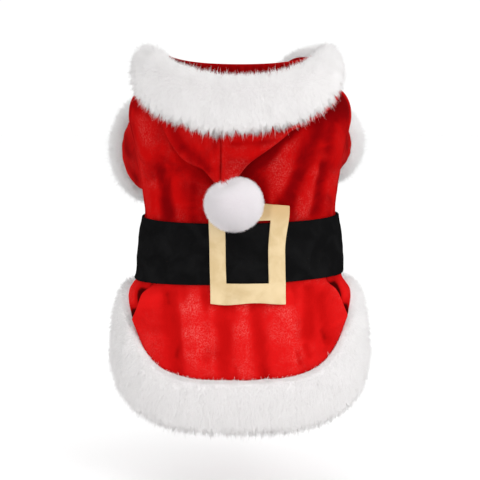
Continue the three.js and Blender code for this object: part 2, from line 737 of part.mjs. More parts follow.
// The angles of one half of the hood, from the seam at mid back to the seam at the throat.
function hoodAngles(side) {
  const from = angleAcross(HOOD_SEAM_X, HOOD_POINT_HEIGHT) + side * HOOD_SEAM_HALF_GAP;
  const flank = side * sideSeamAngle(0);
  const to = side * (180 - HOOD_SEAM_HALF_GAP);
  const angles = [];
  for (let i = 0; i < COLUMNS_HOOD_BACK; i += 1) {
    angles.push(mix(from, flank, i / COLUMNS_HOOD_BACK));
  }
  for (let i = 0; i <= COLUMNS_HOOD_THROAT; i += 1) {
    angles.push(mix(flank, to, i / COLUMNS_HOOD_THROAT));
  }
  return angles;
}

function hoodHalf(side) {
  const outer = [];
  const inner = [];
  for (const angle of hoodAngles(side)) {
    const { line, section } = hoodSection(angle);
    outer.push(sectionPoints(line, angle, section));
    inner.push(sectionPoints(line, angle, insetSection(section)));
  }
  return clothWall(outer, inner);
}

// The plush band sits on the hood's outer layer, on the same points moved out.
function hoodTrim() {
  const angles = [...hoodAngles(-1).slice(1).reverse(), ...hoodAngles(1)];
  const outer = [];
  const inner = [];
  for (const angle of angles) {
    const { line, section } = hoodSection(angle);
    const thickness = trimLine('thickness', angle);
    const rows = section.slice(0, ROWS_TRIM + 1);
    const full = rows.map((place, i) => new THREE.Vector2(place.x,
      place.y + 2 * SEAM_GAP + CLOTH + (thickness - CLOTH) * plushFullness(i / ROWS_TRIM)));
    const flat = rows.map((place) => new THREE.Vector2(place.x, place.y + 2 * SEAM_GAP));
    outer.push(sectionPoints(line, angle, full));
    inner.push(sectionPoints(line, angle, flat));
  }
  return clothWall(outer, inner);
}

function pompomBall() {
  const notch = new THREE.Vector3(POMPOM_NOTCH.x, POMPOM_NOTCH.y, POMPOM_NOTCH.z).normalize();
  const points = [];
  const triangles = [];
  for (let i = 0; i <= ROWS_POMPOM; i += 1) {
    const drop = (Math.PI * i) / ROWS_POMPOM;
    for (let j = 0; j < STEPS_POMPOM; j += 1) {
      const turn = (2 * Math.PI * j) / STEPS_POMPOM;
      const way = new THREE.Vector3(Math.sin(drop) * Math.cos(turn), Math.sin(drop) * Math.sin(turn),
        Math.cos(drop));
      const near = Math.exp(-((way.distanceTo(notch) / POMPOM_NOTCH.width) ** 2));
      const reach = 1 - POMPOM_NOTCH.depth * near;
      const back = mix(POMPOM.lowBack, POMPOM.highBack, Math.max(0, way.z));
      points.push(new THREE.Vector3(
        POMPOM.x + POMPOM.halfWidth * reach * way.x,
        POMPOM.y + (way.y < 0 ? POMPOM.front : back) * reach * way.y,
        POMPOM.z + POMPOM.halfHeight * reach * way.z,
      ));
    }
  }
  for (let i = 0; i < ROWS_POMPOM; i += 1) {
    for (let j = 0; j < STEPS_POMPOM; j += 1) {
      const next = (j + 1) % STEPS_POMPOM;
      const a = i * STEPS_POMPOM + j;
      const b = (i + 1) * STEPS_POMPOM + j;
      const c = (i + 1) * STEPS_POMPOM + next;
      const d = i * STEPS_POMPOM + next;
      if (i < ROWS_POMPOM - 1) {
        triangles.push([a, b, c]);
      }
      if (i > 0) {
        triangles.push([a, c, d]);
      }
    }
  }
  return closedGeometry(points, triangles);
}

const coat = new THREE.Group();

function addPiece(name, geometry, finish) {
  const piece = new THREE.Mesh(geometry, new THREE.MeshStandardMaterial(finish));
  piece.name = name;
  coat.add(piece);
}

addPiece('back_panel', backPanel(), RED_VELVET);
addPiece('belly_panel', bellyPanel(), RED_VELVET);
for (const sleeve of SLEEVES) {
  addPiece(`sleeve_${sleeve.name}`, sleeveTube(sleeve), RED_VELVET);
  addPiece(`cuff_${sleeve.name}`, cuffRing(sleeve), WHITE_PLUSH);
}
addPiece('neck_casing', neckCasing(), RED_VELVET);
addPiece('hood_left', hoodHalf(-1), RED_VELVET);
addPiece('hood_right', hoodHalf(1), RED_VELVET);
addPiece('hood_trim', hoodTrim(), WHITE_PLUSH);
addPiece('pompom', pompomBall(), WHITE_PLUSH);
addPiece('hem_trim', hemTrim(), WHITE_PLUSH);
addPiece('belt', beltRing(), BLACK_VELVET);
addPiece('buckle', buckleFrame(), GOLD_CLOTH);

export default coat;
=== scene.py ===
"""The looks of a hollow dog coat with a hood, a belt and plush trims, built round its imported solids.

Sizes in the tables are in millimetres and angles in degrees, as the coat is cut. Meshes are made in
metres. Angles run round the coat from the middle of its back, positive to the right from behind.
"""

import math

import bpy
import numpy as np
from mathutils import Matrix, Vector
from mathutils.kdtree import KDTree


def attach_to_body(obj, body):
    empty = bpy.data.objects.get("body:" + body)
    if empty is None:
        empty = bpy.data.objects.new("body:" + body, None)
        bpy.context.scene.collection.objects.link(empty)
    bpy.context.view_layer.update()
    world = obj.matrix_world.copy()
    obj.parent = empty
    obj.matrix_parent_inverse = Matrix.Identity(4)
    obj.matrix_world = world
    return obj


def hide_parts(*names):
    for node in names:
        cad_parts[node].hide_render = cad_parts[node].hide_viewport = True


bl_info = {
    "name": "Dog coat with hood and belt",
    "version": (1, 0, 0),
    "blender": (4, 5, 0),
    "location": "3D View > Sidebar > Coat",
    "description": "Builds a velvet dog coat with plush trims, piece by piece",
    "category": "Add Mesh",
}

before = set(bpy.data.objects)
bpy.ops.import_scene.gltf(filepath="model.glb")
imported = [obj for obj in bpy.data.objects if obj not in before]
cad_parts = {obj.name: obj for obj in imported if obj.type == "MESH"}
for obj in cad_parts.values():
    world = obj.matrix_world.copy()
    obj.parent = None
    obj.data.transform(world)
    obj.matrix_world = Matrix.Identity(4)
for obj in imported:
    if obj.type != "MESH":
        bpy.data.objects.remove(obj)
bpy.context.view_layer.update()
MM = 0.001


def table(columns, *rows):
    """A short table, as one array for each named column."""
    return dict(zip(columns.split(), np.array(rows, float).T))


# Half width, depth of the back and depth of the belly at each height. The rings are a little square.
RING_POWER = 2.2
BODY_RINGS = table(
    "z side back belly",
    (-310, 102, 60, 53),
    (-255, 102.5, 63, 53),
    (-225, 100, 63, 53),
    (-205, 98, 62, 52),
    (-190, 95.5, 59, 51),
    (-178, 87.5, 56, 50),
    (-160, 86, 54, 50),
    (-140, 84, 53, 50),
    (-123, 81.5, 53, 51),
    (-102, 83.5, 54, 52),
    (-82, 86.5, 54, 53),
    (-61, 91, 53, 52),
    (-42, 94.5, 51, 50),
    (-30, 93, 49, 47),
    (-22, 88.5, 47, 44),
    (-14, 79, 44, 41),
    (-8, 69, 42, 38.5),
    (-3, 59, 40, 36),
    (6, 52, 37, 33),
)

# Lines that run round the coat, and how much some climb from the left side to the right side.
ROUND_LINES = table(
    "angle neck casing hem plush belt_top belt_bottom",
    (0, -3, 4.5, -256.5, -302, -126.5, -175.2),
    (22, -3, 5, -255, -301, -126.4, -175.2),
    (38, -3, 6, -248, -297, -126.3, -175.3),
    (52, -3, 7.2, -233, -290, -126.2, -175.6),
    (64, -3, 8.3, -215, -283, -126.1, -176),
    (77, -3, 9.2, -198, -273, -126.1, -176.4),
    (90, -3.5, 9.5, -188, -260, -126.3, -176.5),
    (110, -6, 6.5, -184, -243, -127, -176),
    (140, -14, -3, -183, -232, -127, -174.5),
    (180, -22, -13, -183, -229, -127, -174.5),
)
LINE_CLIMB = {"belt_top": 1.2, "belt_bottom": 3.2, "hem": 1.6}

# The hood's trim: its lower edge, its thickness, how high the rim stands and how far down it starts.
HOOD_TRIM = table(
    "angle lower thickness rim drop",
    (-180, -53, 12, 12, 0),
    (-150, -41, 13, 12, 0),
    (-120, -24, 16, 12, 0),
    (-90, -15, 20, 12, 0),
    (-72, -19, 20, 12, 1),
    (-56, -29, 17, 12, 2),
    (-42, -38, 14, 12, 3),
    (-20, -50, 12, 12.5, 4.5),
    (-8, -54, 12, 13, 5),
    (20, -48, 12, 13, 5),
    (42, -35, 13, 12, 3),
    (56, -25, 15, 12, 2),
    (72, -16, 17, 12, 1),
    (90, -12, 15, 12, 0),
    (112, -19, 17, 14, -2),
    (135, -32, 17, 16, -11),
    (155, -44, 15, 14, -10),
    (180, -53, 12, 12, 0),
)

# The lower edge of the hood where it hangs below its trim, by distance across the back.
HOOD_POINT = table(
    "x bottom",
    (-68, -30),
    (-62, -40),
    (-56, -57),
    (-49, -70),
    (-40, -76.5),
    (-31, -80.5),
    (-22, -89.5),
    (-12, -96),
    (-4, -89),
    (7, -76),
    (25, -62.5),
    (35, -54),
    (47, -41),
    (56, -32),
)
HOOD_SEAM_X = -15
HOOD_REST = 0.8
HOOD_LOW_HEIGHT = 7.5
HOOD_BELOW_TRIM = 2.5
HOOD_POINT_SPAN = 60
HOOD_POINT_HEIGHT = -60
HOOD_POINT_FADE = (38, 58)
HOOD_SEAM_LIFT = 0.5
HOOD_EDGE_LIFT = 3
# Depth of the painted shadow on the back panel under the hood's edge.
HOOD_SHADE = 3.2
HOOD_TIP = dict(x=-12, z=-90, lift=10, width=13, height=12)
HOOD_TRIM_LOWER = 2.2
HOOD_BUMP_LOWER = 4
HOOD_SEAM_WIDTH = 2.2
HOOD_RIDGE_WIDTH = 1.5
HOOD_SEAM_DEPTH = 0.35
HOOD_CRUSH = dict(height=0.3, size=14, seed=21)
HOOD_CRUSH_FREE = 3
HOOD_LOOSE_FROM = 0.55
# Painted highlight on the hood where its loose right edge and its tip stand off.
HOOD_LOOSE_HIGHLIGHT = 0.2
HOOD_EDGE_FADE = (60, 40)
MERIDIAN_STEP = 0.5
MERIDIAN_END = -120
FAR_AWAY = 99

# The side seam's angle from mid back, at each share of the way from neck to hem.
BELT_SHARE_TOP = 0.5
BELT_SHARE_BOTTOM = 0.7
SIDE_SEAM = table("share angle", (0, 78), (0.5, 78), (0.7, 56), (1, 63))

# Soft troughs, which are negative, and ridges, each along a straight line on the coat.
BACK_FOLDS = table(
    "x1 z1 x2 z2 width height",
    (-66, -84, -60, -126, 6, -2.0),
    (-72, -98, -70, -124, 5, 1.6),
    (12, -92, 14, -122, 9, -1.6),
    (36, -64, 33, -92, 8, 1.8),
    (66, -48, 50, -85, 8, -2.4),
    (50, -85, 37, -108, 7, -2),
    (59, -84, 51, -122, 6, 2),
    (70, -80, 63, -122, 5, -2),
    (-60, -184, -53, -249, 7, -2.6),
    (-40, -194, -36, -244, 8, 2.2),
    (-13, -186, -12, -252, 6, -1.5),
    (1, -192, 2, -250, 7, 1.6),
    (12, -196, 21, -254, 5.5, -2.0),
    (33, -196, 40, -240, 10, 2.6),
    (58, -182, 58, -220, 5, -2.2),
    (66, -188, 74, -224, 5, -1.8),
)
BELLY_FOLDS = table(
    "x1 z1 x2 z2 width height",
    (-30, -60, -36, -126, 9, -2),
    (-8, -70, -6, -122, 8, 1.6),
    (18, -56, 12, -120, 9, -1.8),
    (44, -112, 40, -127, 6, -1.5),
    (72, -112, 70, -127, 6, -1.6),
    (-66, -116, -62, -127, 6, -1.4),
)
# Finer creases: puckers at the hem's seam, pinches at the belt's edges, and slack across the flanks.
BACK_CREASES = table(
    "x1 z1 x2 z2 width height",
    (-3, -246, -4, -256, 2.4, -1.5),
    (19, -245, 21, -255, 2.6, -0.9),
    (47, -233, 50, -243, 2.2, -1.3),
    (55, -229, 58, -238, 2.4, -1.5),
    (70, -218, 74, -228, 2.6, -1.4),
    (-30, -240, -33, -250, 2.6, -1.0),
    (-50, -226, -54, -238, 2.4, -1.0),
    (-64, -178, -62, -193, 2.8, -1.3),
    (-47, -178, -46, -190, 3.0, -1.1),
    (-31, -178, -29, -196, 3.2, -1.5),
    (-5, -194, -5, -204, 3.0, -0.9),
    (44, -178, 45, -192, 3.4, -1.0),
    (24, -196, 27, -232, 2.6, 0.7),
    (-48, -196, -46, -238, 2.6, 0.7),
    (-24, -198, -23, -246, 2.8, 0.8),
    (-72, -84, -66, -104, 3.0, 0.8),
    (-54, -92, -50, -127, 3.4, 0.9),
    (-38, -96, -40, -127, 3.6, -0.8),
    (26, -88, 25, -127, 3.4, 0.8),
    (44, -104, 43, -127, 3.0, -1.0),
    (66, -60, 62, -84, 4.0, 1.0),
    (78, -44, 74, -66, 4.2, -1.2),
    (49, -84, 51, -87, 7, 1.9),
    (-80, -42, -78, -70, 6, 1.1),
)
BELLY_CREASES = table(
    "x1 z1 x2 z2 width height",
    (-52, -112, -48, -127, 2.8, -1.1),
    (-22, -108, -20, -127, 3.0, 0.9),
    (3, -110, 4, -127, 2.6, -1.0),
    (28, -106, 26, -127, 3.0, 0.9),
    (56, -114, 54, -127, 2.6, -1.0),
    (-44, -34, -40, -58, 4.0, -1.0),
    (40, -32, 34, -60, 4.4, -1.1),
    (-2, -34, 1, -56, 4.0, 0.8),
)
# Creases of the hood's outer layer, measured on the back as the coat's own.
HOOD_FOLDS = table(
    "x1 z1 x2 z2 width height",
    (44, -52, 4, -82, 4.2, -1.2),
    (-6, -59, 26, -57, 2.6, -0.9),
    (-4, -66, 18, -66, 4.5, 1.0),
    (-44, -62, -24, -80, 3.6, -0.9),
    (-26, -56, -20, -76, 3.0, 0.8),
    (-56, -40, -46, -62, 4.0, -0.9),
    (-60, -10, -70, -30, 5.0, -0.9),
    (62, -12, 66, -26, 4.6, -0.8),
)
FOLD_UNDER_BELT = 0.12
BELT_FADE = 9
FLANK_FADE = 0.25

# The velvet's pile lies the other way below the belt, from the first height to the second.
SKIRT_NAP = (-165, -185)

# The back panel stands proud over a lap of the side panel below the belt.
LAP_ANGLE = 6
LAP_MIDDLE_SHARE = 0.85
LAP_HALF_SPAN = 0.075
LAP_EDGE_SHARE = 0.72

# The sleeves: each armhole on the coat and the ring where the cuff is sewn on.
SLEEVES = {
    "left": dict(side=-1, angle=113, z=-72, span=26, half_height=39,
                 end=(78, 62, -76), end_half_width=26, end_half_height=37),
    "right": dict(side=1, angle=113, z=-71, span=25, half_height=33,
                  end=(73, 62, -71), end_half_width=25, end_half_height=27),
}
SLEEVE_TILT = 5
SLEEVE_PULL = 0.35
CUFF_LENGTH = 24
# Slack along a sleeve, by turn round it: where it is deepest along the sleeve, and how deep.
SLEEVE_FOLDS = table(
    "turn along width height",
    (10, 0.5, 16, -1.6),
    (48, 0.4, 14, 1.2),
    (95, 0.6, 18, -1.4),
    (150, 0.5, 16, 1.3),
    (205, 0.4, 15, -1.5),
    (262, 0.6, 18, 1.1),
    (318, 0.5, 15, -1.3),
)
SLEEVE_FOLD_SHARE = 0.7
SLEEVE_FOLD_LENGTH = 0.3
SLEEVE_CRUSH = dict(height=0.35, size=16, seed=11)
SLEEVE_END_FADE = 0.4
GATHER_DEPTH = 0.5
GATHER_COUNT = 17
GATHER_DRIFT = 1.4
GATHERS_FROM = 0.55

POMPOM = dict(x=-5, y=-77, z=-105.5, half_width=24.6, half_height=23.5, front=23, low_back=17,
              high_back=24.2)
POMPOM_NOTCH = dict(way=(-0.38, -0.24, 0.89), depth=0.50, width=0.42)

# The belt's slack: long soft swells and finer ones.
LARGE_SLACK = dict(height=0.7, size=30, seed=31)
SMALL_SLACK = dict(height=0.2, size=9, seed=32)

BUCKLE = dict(left=-25, right=36, top=-109.5, bottom=-192.5, lean=4.5, low_lean=1.3, wave=0.7)
BUCKLE_WINDOW = dict(left=-12, right=22.5, top=-122.5, bottom=-175.5)
BUCKLE_CELLS = dict(bar=12, window_wide=24, window_high=40, low_bar=15)
BUCKLE_WAVE_LENGTH = 7.5
BUCKLE_BEND = dict(depth=0.35, length=14)
BUCKLE_SOFTNESS = dict(height=0.5, size=26, seed=41)
BUCKLE_LOW_WAVE = dict(height=0.9, length=9)
BUCKLE_EDGE = dict(width=0.0004, segments=2, angle=50)
BUCKLE_LEANS_FROM = -150
BUCKLE_TOP_SLOPE = -0.13
BUCKLE_TOP_LEVEL = (8, 27)

CASING_FLARE = 0.03
CASING_PUCKER = dict(depth=0.45, count=61, drift=2.2)
# Painted shade over the whole neck casing.
CASING_SHADE = -0.4

SEAM_GAP = 0.3
SEAM_WIDTH = 1.6
SEAM_FREE = 4
PLUSH_SQUARE = 2.6
PLUSH_ROUND = 0.5
TINY = 1e-12

# Uneven heights: how many waves they have, how the waves' lengths spread, and what evens their sum out.
WOBBLE_WAVES = 9
WOBBLE_SPREAD = (0.7, 1.6)
WOBBLE_SUM = 5

# The velvet's crush: the height and size of its large and its small humps.
LARGE_CRUSH = dict(height=0.35, size=22)
SMALL_CRUSH = dict(height=0.14, size=8)
BACK_CRUSH_SEED = 4
BELLY_CRUSH_SEED = 6

# Painted shadow under the lap and under the hood's loose right edge.
LAP_SHADE = dict(depth=6, width=14, full_share=0.76)
HOOD_SHADE_REACH = (16, 1)
HOOD_SHADE_LEFT = 0.25
HOOD_SHADE_TURN = 10

# Rows above, under and below the belt, and columns, of the two panels.
BACK_ROWS = (72, 8, 68)
BACK_COLUMNS = 148
BELLY_ROWS = (70, 6, 14)
BELLY_COLUMNS = 150
RING_COLUMNS = 128
SLEEVE_ROWS = 34
CASING_COLUMNS = 320
BELT_COLUMNS = 260
HEM_COLUMNS = 300
HOOD_TRIM_COLUMNS = 240
TRIM_ROWS = 24
CUFF_ROWS = 16
HOOD_COLUMNS = (84, 34)
HOOD_ROWS = dict(rows_trim=30, rows_point=26, rows_turn=8, rows_inner=14)
HOOD_TRIM_ROWS = dict(HOOD_ROWS, rows_trim=TRIM_ROWS, rows_point=2)
# Rows on a band's face and round its edge.
CASING_SECTION = (6, 3)
BELT_SECTION = (20, 5)

# Each trim's backing: its share of the plush's thickness and its uneven height. Its pile: the locks and
# how they draw together. How far the pile is stroked down: at the upper and lower edge, and over what
# share of the way between them that changes.
HEM_BACKING = dict(share=0.55, height=0.8, size=16, seed=51)
HEM_PILE = dict(locks=2600, seed=52, pull=0.16)
HEM_STROKE = (0.8, 1.2)
HEM_STROKE_OVER = (0.0, 0.4)
HEM_EDGE_LIFT = 2.5
HOOD_BACKING = dict(share=0.62, height=0.9, size=15, seed=61)
HOOD_PILE = dict(locks=2400, seed=62, pull=0.38)
HOOD_STROKE = (-0.1, 1.1)
HOOD_STROKE_OVER = (0.05, 0.6)
HOOD_BACKING_OFF = 0.5
HOOD_BACKING_INSIDE = 0.4
HOOD_LOWER_FADE = (70, 45)
HOOD_BUMP = dict(angle=-108, width=30)
CUFF_BACKING_SHARE = 0.5
CUFF_PILE = dict(locks=800, seed=72, pull=0.25)
CUFF_STROKE = (-0.15, 0.6)
POMPOM_PILE = dict(locks=2200, seed=82, pull=0.25, wild=0.28, strays=0)
POMPOM_INSET = 0.85
POMPOM_CELLS = (40, 80)
POMPOM_POLE = 0.02

# Pile: how strands vary, what strays do, and how locks draw together towards the lower edge.
STRAND_LENGTHS = (0.65, 1.1)
STRAND_WIDTHS = (0.7, 1.2)
PILE_WILD = 0.38
PILE_STRAYS = 0.08
UPPER_EDGE = (0, 0.3)
UPPER_EDGE_LENGTH = 0.75
STRAY_LENGTH = 1.45
EDGE_PULL = (0.6, 2.2)
DRAWN_OVER = (0.6, 1)
PULL_SPREAD = (0.4, 1.3)
MOST_PULL = 0.95
ROOT_DEPTH = 0.6
# Painted shade down at the strands' roots; each lock is also dimmed at random.
ROOT_SHADE = 0.2
DIM_LOCK = 0.85
EDGE_TURN = 1.2
TURNED_OVER = (0.85, 1)
SOFT_SHADING = 0.45
# Painted shade on the backing under the pile.
BACKING_SHADE = 0.35

# Uneven tones of the finishes: the spots' size in metres, their detail, roughness and distortion.
SPOTS = dict(
    crush=(0.030, 4, 0.6, 0.8), nap=(0.0011, 2, 0.6), patch=(0.026, 3, 0.55, 0.6),
    speck=(0.0011, 3, 0.7, 0.4), knit=(0.012, 3), plush=(0.018, 3), belt_nap=(0.0009, 2, 0.6),
    belt_lie=(0.016, 3, 0.5, 0.5), gold_grain=(0.0006, 2, 0.5), gold_tone=(0.014, 3, 0.5, 0.4),
    floor=(0.4, 2),
)
# Between which two tones, or heights of a fold, each look sets in.
SETS_IN = dict(
    lightness=(0.02, 0.46), patch=(0.34, 0.66), ridge=(-0.8, 1.6), speck=(0.42, 0.66), painted_shadow=(-5.0, -2.4),
    knit=(0.3, 0.7), roots=(0.0, 0.75), plush=(0.2, 0.7), belt_lie=(0.35, 0.7), gold_tone=(0.3, 0.7),
    gold_top_shade=(-0.132, -0.108),
)
# Depth in metres and strength of each finish's fine relief.
RELIEF = dict(
    nap=(0.0005, 0.35), crush=(0.0016, 0.25), knit=(0.0002, 0.5), belt_nap=(0.0004, 0.3),
    belt_lie=(0.0006, 0.3), gold_grain=(0.00015, 0.35), gold_tone=(0.0012, 0.3),
)
# How much of each colour is left in its darker or lighter tone. The plush's roots and the buckle's top bar
# take painted shade.
TONES = dict(roots=(0.90, 0.89, 0.90), worn=(1.6,), deep_gold=(0.86, 0.82, 0.74),
             top_shade_gold=(0.80, 0.68, 0.55), floor=(0.98,))
# How much the crush's random lie, and the fold's height as painted light and shade, lighten or darken the
# velvet.
LIE_OF_CRUSH = 0.6
FOLD_SHADE = 0.11
# How much painted glint of sheen shows above and below the belt.
PAINTED_GLINT_SHARE = (0.15, 0.25)
WALES = {"Scale": 420.0, "Distortion": 0.6, "Detail": 1.0}
KNIT_SHARE = (0.0, 0.35)
PLUSH_SHARE = (0.80, 1.0)

# Where each light stands and its size, in metres.
LIGHTS = {
    "key": ((1.1, -1.3, 0.7), 0.9),
    "top": ((0.1, 0.3, 1.3), 1.2),
    "fill": ((-1.3, -0.5, 0.0), 0.9),
}
FLOOR_HALF_WIDTH = 3000


def ease(value, low, high):
    share = np.clip((value - low) / (high - low), 0, 1)
    return share * share * (3 - 2 * share)


def mix(a, b, share):
    return a + (b - a) * share


def unit(vectors):
    return vectors / np.maximum(np.linalg.norm(vectors, axis=-1, keepdims=True), TINY)


def read_table(rows, key, column, at):
    """A column of a table at any places between its rows, on a smooth curve through them."""
    keys, values = rows[key], rows[column]
    at = np.clip(at, keys[0], keys[-1])
    i = np.clip(np.searchsorted(keys, at, side="right") - 1, 0, len(keys) - 2)
    slopes = np.zeros(len(keys))
    slopes[1:-1] = (values[2:] - values[:-2]) / (keys[2:] - keys[:-2])
    span = keys[i + 1] - keys[i]
    t = (at - keys[i]) / span
    return (
        (2 * t**3 - 3 * t**2 + 1) * values[i]
        + (t**3 - 2 * t**2 + t) * span * slopes[i]
        + (3 * t**2 - 2 * t**3) * values[i + 1]
        + (t**3 - t**2) * span * slopes[i + 1]
    )


def wobble(points, size, seed):
    """Soft uneven height from -1 to 1 at points in millimetres, with humps of about that size."""
    rng = np.random.default_rng(seed)
    ways = unit(rng.normal(size=(WOBBLE_WAVES, 3)))
    waves = 2 * np.pi / (size * rng.uniform(*WOBBLE_SPREAD, WOBBLE_WAVES))
    return sum(
        np.sin(points @ way * wave + phase)
        for way, wave, phase in zip(ways, waves, rng.uniform(0, 2 * np.pi, WOBBLE_WAVES))
    ) / WOBBLE_SUM


def crushed(points, seed):
    """Height of the velvet's crush."""
    large = LARGE_CRUSH["height"] * wobble(points, LARGE_CRUSH["size"], seed)
    return large + SMALL_CRUSH["height"] * wobble(points, SMALL_CRUSH["size"], seed + 1)


def round_line(line, angle):
    """Height of a line that runs round the coat."""
    folded = np.abs((angle + 180) % 360 - 180)
    climb = LINE_CLIMB.get(line, 0) * np.sin(np.radians(angle))
    return read_table(ROUND_LINES, "angle", line, folded) + climb


def body_point(angle, z):
    """The smooth body without folds."""
    turn = np.radians(angle)
    sine, cosine = np.sin(turn), np.cos(turn)
    power = 2 / RING_POWER
    depth = np.where(
        cosine > 0,
        read_table(BODY_RINGS, "z", "back", z),
        read_table(BODY_RINGS, "z", "belly", z),
    )
    x = read_table(BODY_RINGS, "z", "side", z) * np.sign(sine) * np.abs(sine) ** power
    y = -depth * np.sign(cosine) * np.abs(cosine) ** power
    return np.stack([x, y, z + np.zeros_like(x)], -1)


def body_normal(angle, z):
    across = body_point(angle + 1, z) - body_point(angle - 1, z)
    up = body_point(angle, z + 1) - body_point(angle, z - 1)
    return unit(np.cross(across, up))


def fold_height(folds, x, z):
    height = np.zeros(np.broadcast(x, z).shape)
    for x1, z1, x2, z2, width, top in zip(*folds.values()):
        run_x, run_z = x2 - x1, z2 - z1
        share = ((x - x1) * run_x + (z - z1) * run_z) / (run_x**2 + run_z**2)
        held = np.clip(share, 0, 1)
        away = np.hypot(x - x1 - held * run_x, z - z1 - held * run_z)
        height += top * np.exp(-((away / width) ** 2))
    return height


def cloth_height(angle, z):
    """How far the coat's folds and creases stand off the smooth body."""
    x = body_point(angle, z)[..., 0]
    cosine = np.cos(np.radians(angle))
    back = fold_height(BACK_FOLDS, x, z) + fold_height(BACK_CREASES, x, z)
    belly = fold_height(BELLY_FOLDS, x, z) + fold_height(BELLY_CREASES, x, z)
    top, bottom = round_line("belt_top", angle), round_line("belt_bottom", angle)
    free = np.maximum(ease(z, top, top + BELT_FADE), 1 - ease(z, bottom - BELT_FADE, bottom))
    flank = ease(np.abs(cosine), 0, FLANK_FADE)
    return np.where(cosine > 0, back, belly) * mix(FOLD_UNDER_BELT, 1, free) * flank


def coat_point(angle, z, out=0.0):
    """A point on the coat's outer cloth, moved out along the body's normal."""
    height = cloth_height(angle, z) + out
    return body_point(angle, z) + height[..., None] * body_normal(angle, z)


def height_at(angle, share):
    """Height on the coat at a share of the way from neck to hem."""
    neck, hem = round_line("neck", angle), round_line("hem", angle)
    top, bottom = round_line("belt_top", angle), round_line("belt_bottom", angle)
    above = mix(neck, top, share / BELT_SHARE_TOP)
    under = mix(top, bottom, (share - BELT_SHARE_TOP) / (BELT_SHARE_BOTTOM - BELT_SHARE_TOP))
    below = mix(bottom, hem, (share - BELT_SHARE_BOTTOM) / (1 - BELT_SHARE_BOTTOM))
    return np.where(share <= BELT_SHARE_TOP, above, np.where(share <= BELT_SHARE_BOTTOM, under, below))


def side_seam_angle(share):
    return read_table(SIDE_SEAM, "share", "angle", share)


def away_from_sides(points):
    """Distance of each point of a panel from the nearer of its two side seams."""
    left = np.linalg.norm(points - points[:, :1], axis=-1)
    return np.minimum(left, np.linalg.norm(points - points[:, -1:], axis=-1))


def free_of_seam(away):
    """From 0 on a seam to 1 a little way off it."""
    return 1 - np.exp(-((away / SEAM_FREE) ** 2))


def angle_across(x, z):
    """The angle at which the smooth body lies that far across the back."""
    share = np.clip(np.abs(x) / read_table(BODY_RINGS, "z", "side", z), 0, 1)
    return np.sign(x) * np.degrees(np.arcsin(share ** (RING_POWER / 2)))


def plush_fullness(share):
    """Plush is thin at both edges and full between them."""
    return (1 - np.abs(2 * share - 1) ** PLUSH_SQUARE) ** PLUSH_ROUND


def grid_faces(rows, columns, around=False, tube=False):
    """Quads of a grid whose rows run down and columns to the right, turned outwards."""
    i = np.arange(rows if tube else rows - 1)[:, None]
    j = np.arange(columns if around else columns - 1)[None, :]
    below, beside = (i + 1) % rows, (j + 1) % columns
    corners = np.broadcast_arrays(
        i * columns + j, below * columns + j, below * columns + beside, i * columns + beside
    )
    return np.stack(corners, -1).reshape(-1, 4)


def make_piece(name, points, faces, *finishes):
    """An object from points in millimetres and faces that all have as many sides."""
    mesh = bpy.data.meshes.new(name)
    mesh.vertices.add(len(points))
    mesh.vertices.foreach_set("co", (points * MM).astype(np.float32).ravel())
    mesh.loops.add(faces.size)
    mesh.loops.foreach_set("vertex_index", faces.astype(np.int32).ravel())
    mesh.polygons.add(len(faces))
    mesh.polygons.foreach_set("loop_start", np.arange(0, faces.size, faces.shape[1], dtype=np.int32))
    mesh.update(calc_edges=True)
    mesh.shade_smooth()
    for finish in finishes:
        mesh.materials.append(finish)
    piece = bpy.data.objects.new(name, mesh)
    bpy.context.collection.objects.link(piece)
    return piece


def keep_values(piece, attribute, values):
    """Stores one number for each point, which the finish reads."""
    stored = piece.data.attributes.new(attribute, "FLOAT", "POINT")
    stored.data.foreach_set("value", np.asarray(values, np.float32).ravel())


def make_wall(piece, thickness):
    """Gives a one-layer mesh the thickness of its cloth, inwards. The inner face has its own finish."""
    wall = piece.modifiers.new("wall", "SOLIDIFY")
    wall.thickness = thickness
    wall.offset = -1
    wall.use_even_offset = True
    wall.material_offset = 1


def attach(piece, slot, *nodes):
    """The piece rides on the coat and stands for those solids, which are hidden. The slot is not used."""
    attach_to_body(piece, "root")
    if nodes:
        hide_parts(*nodes)


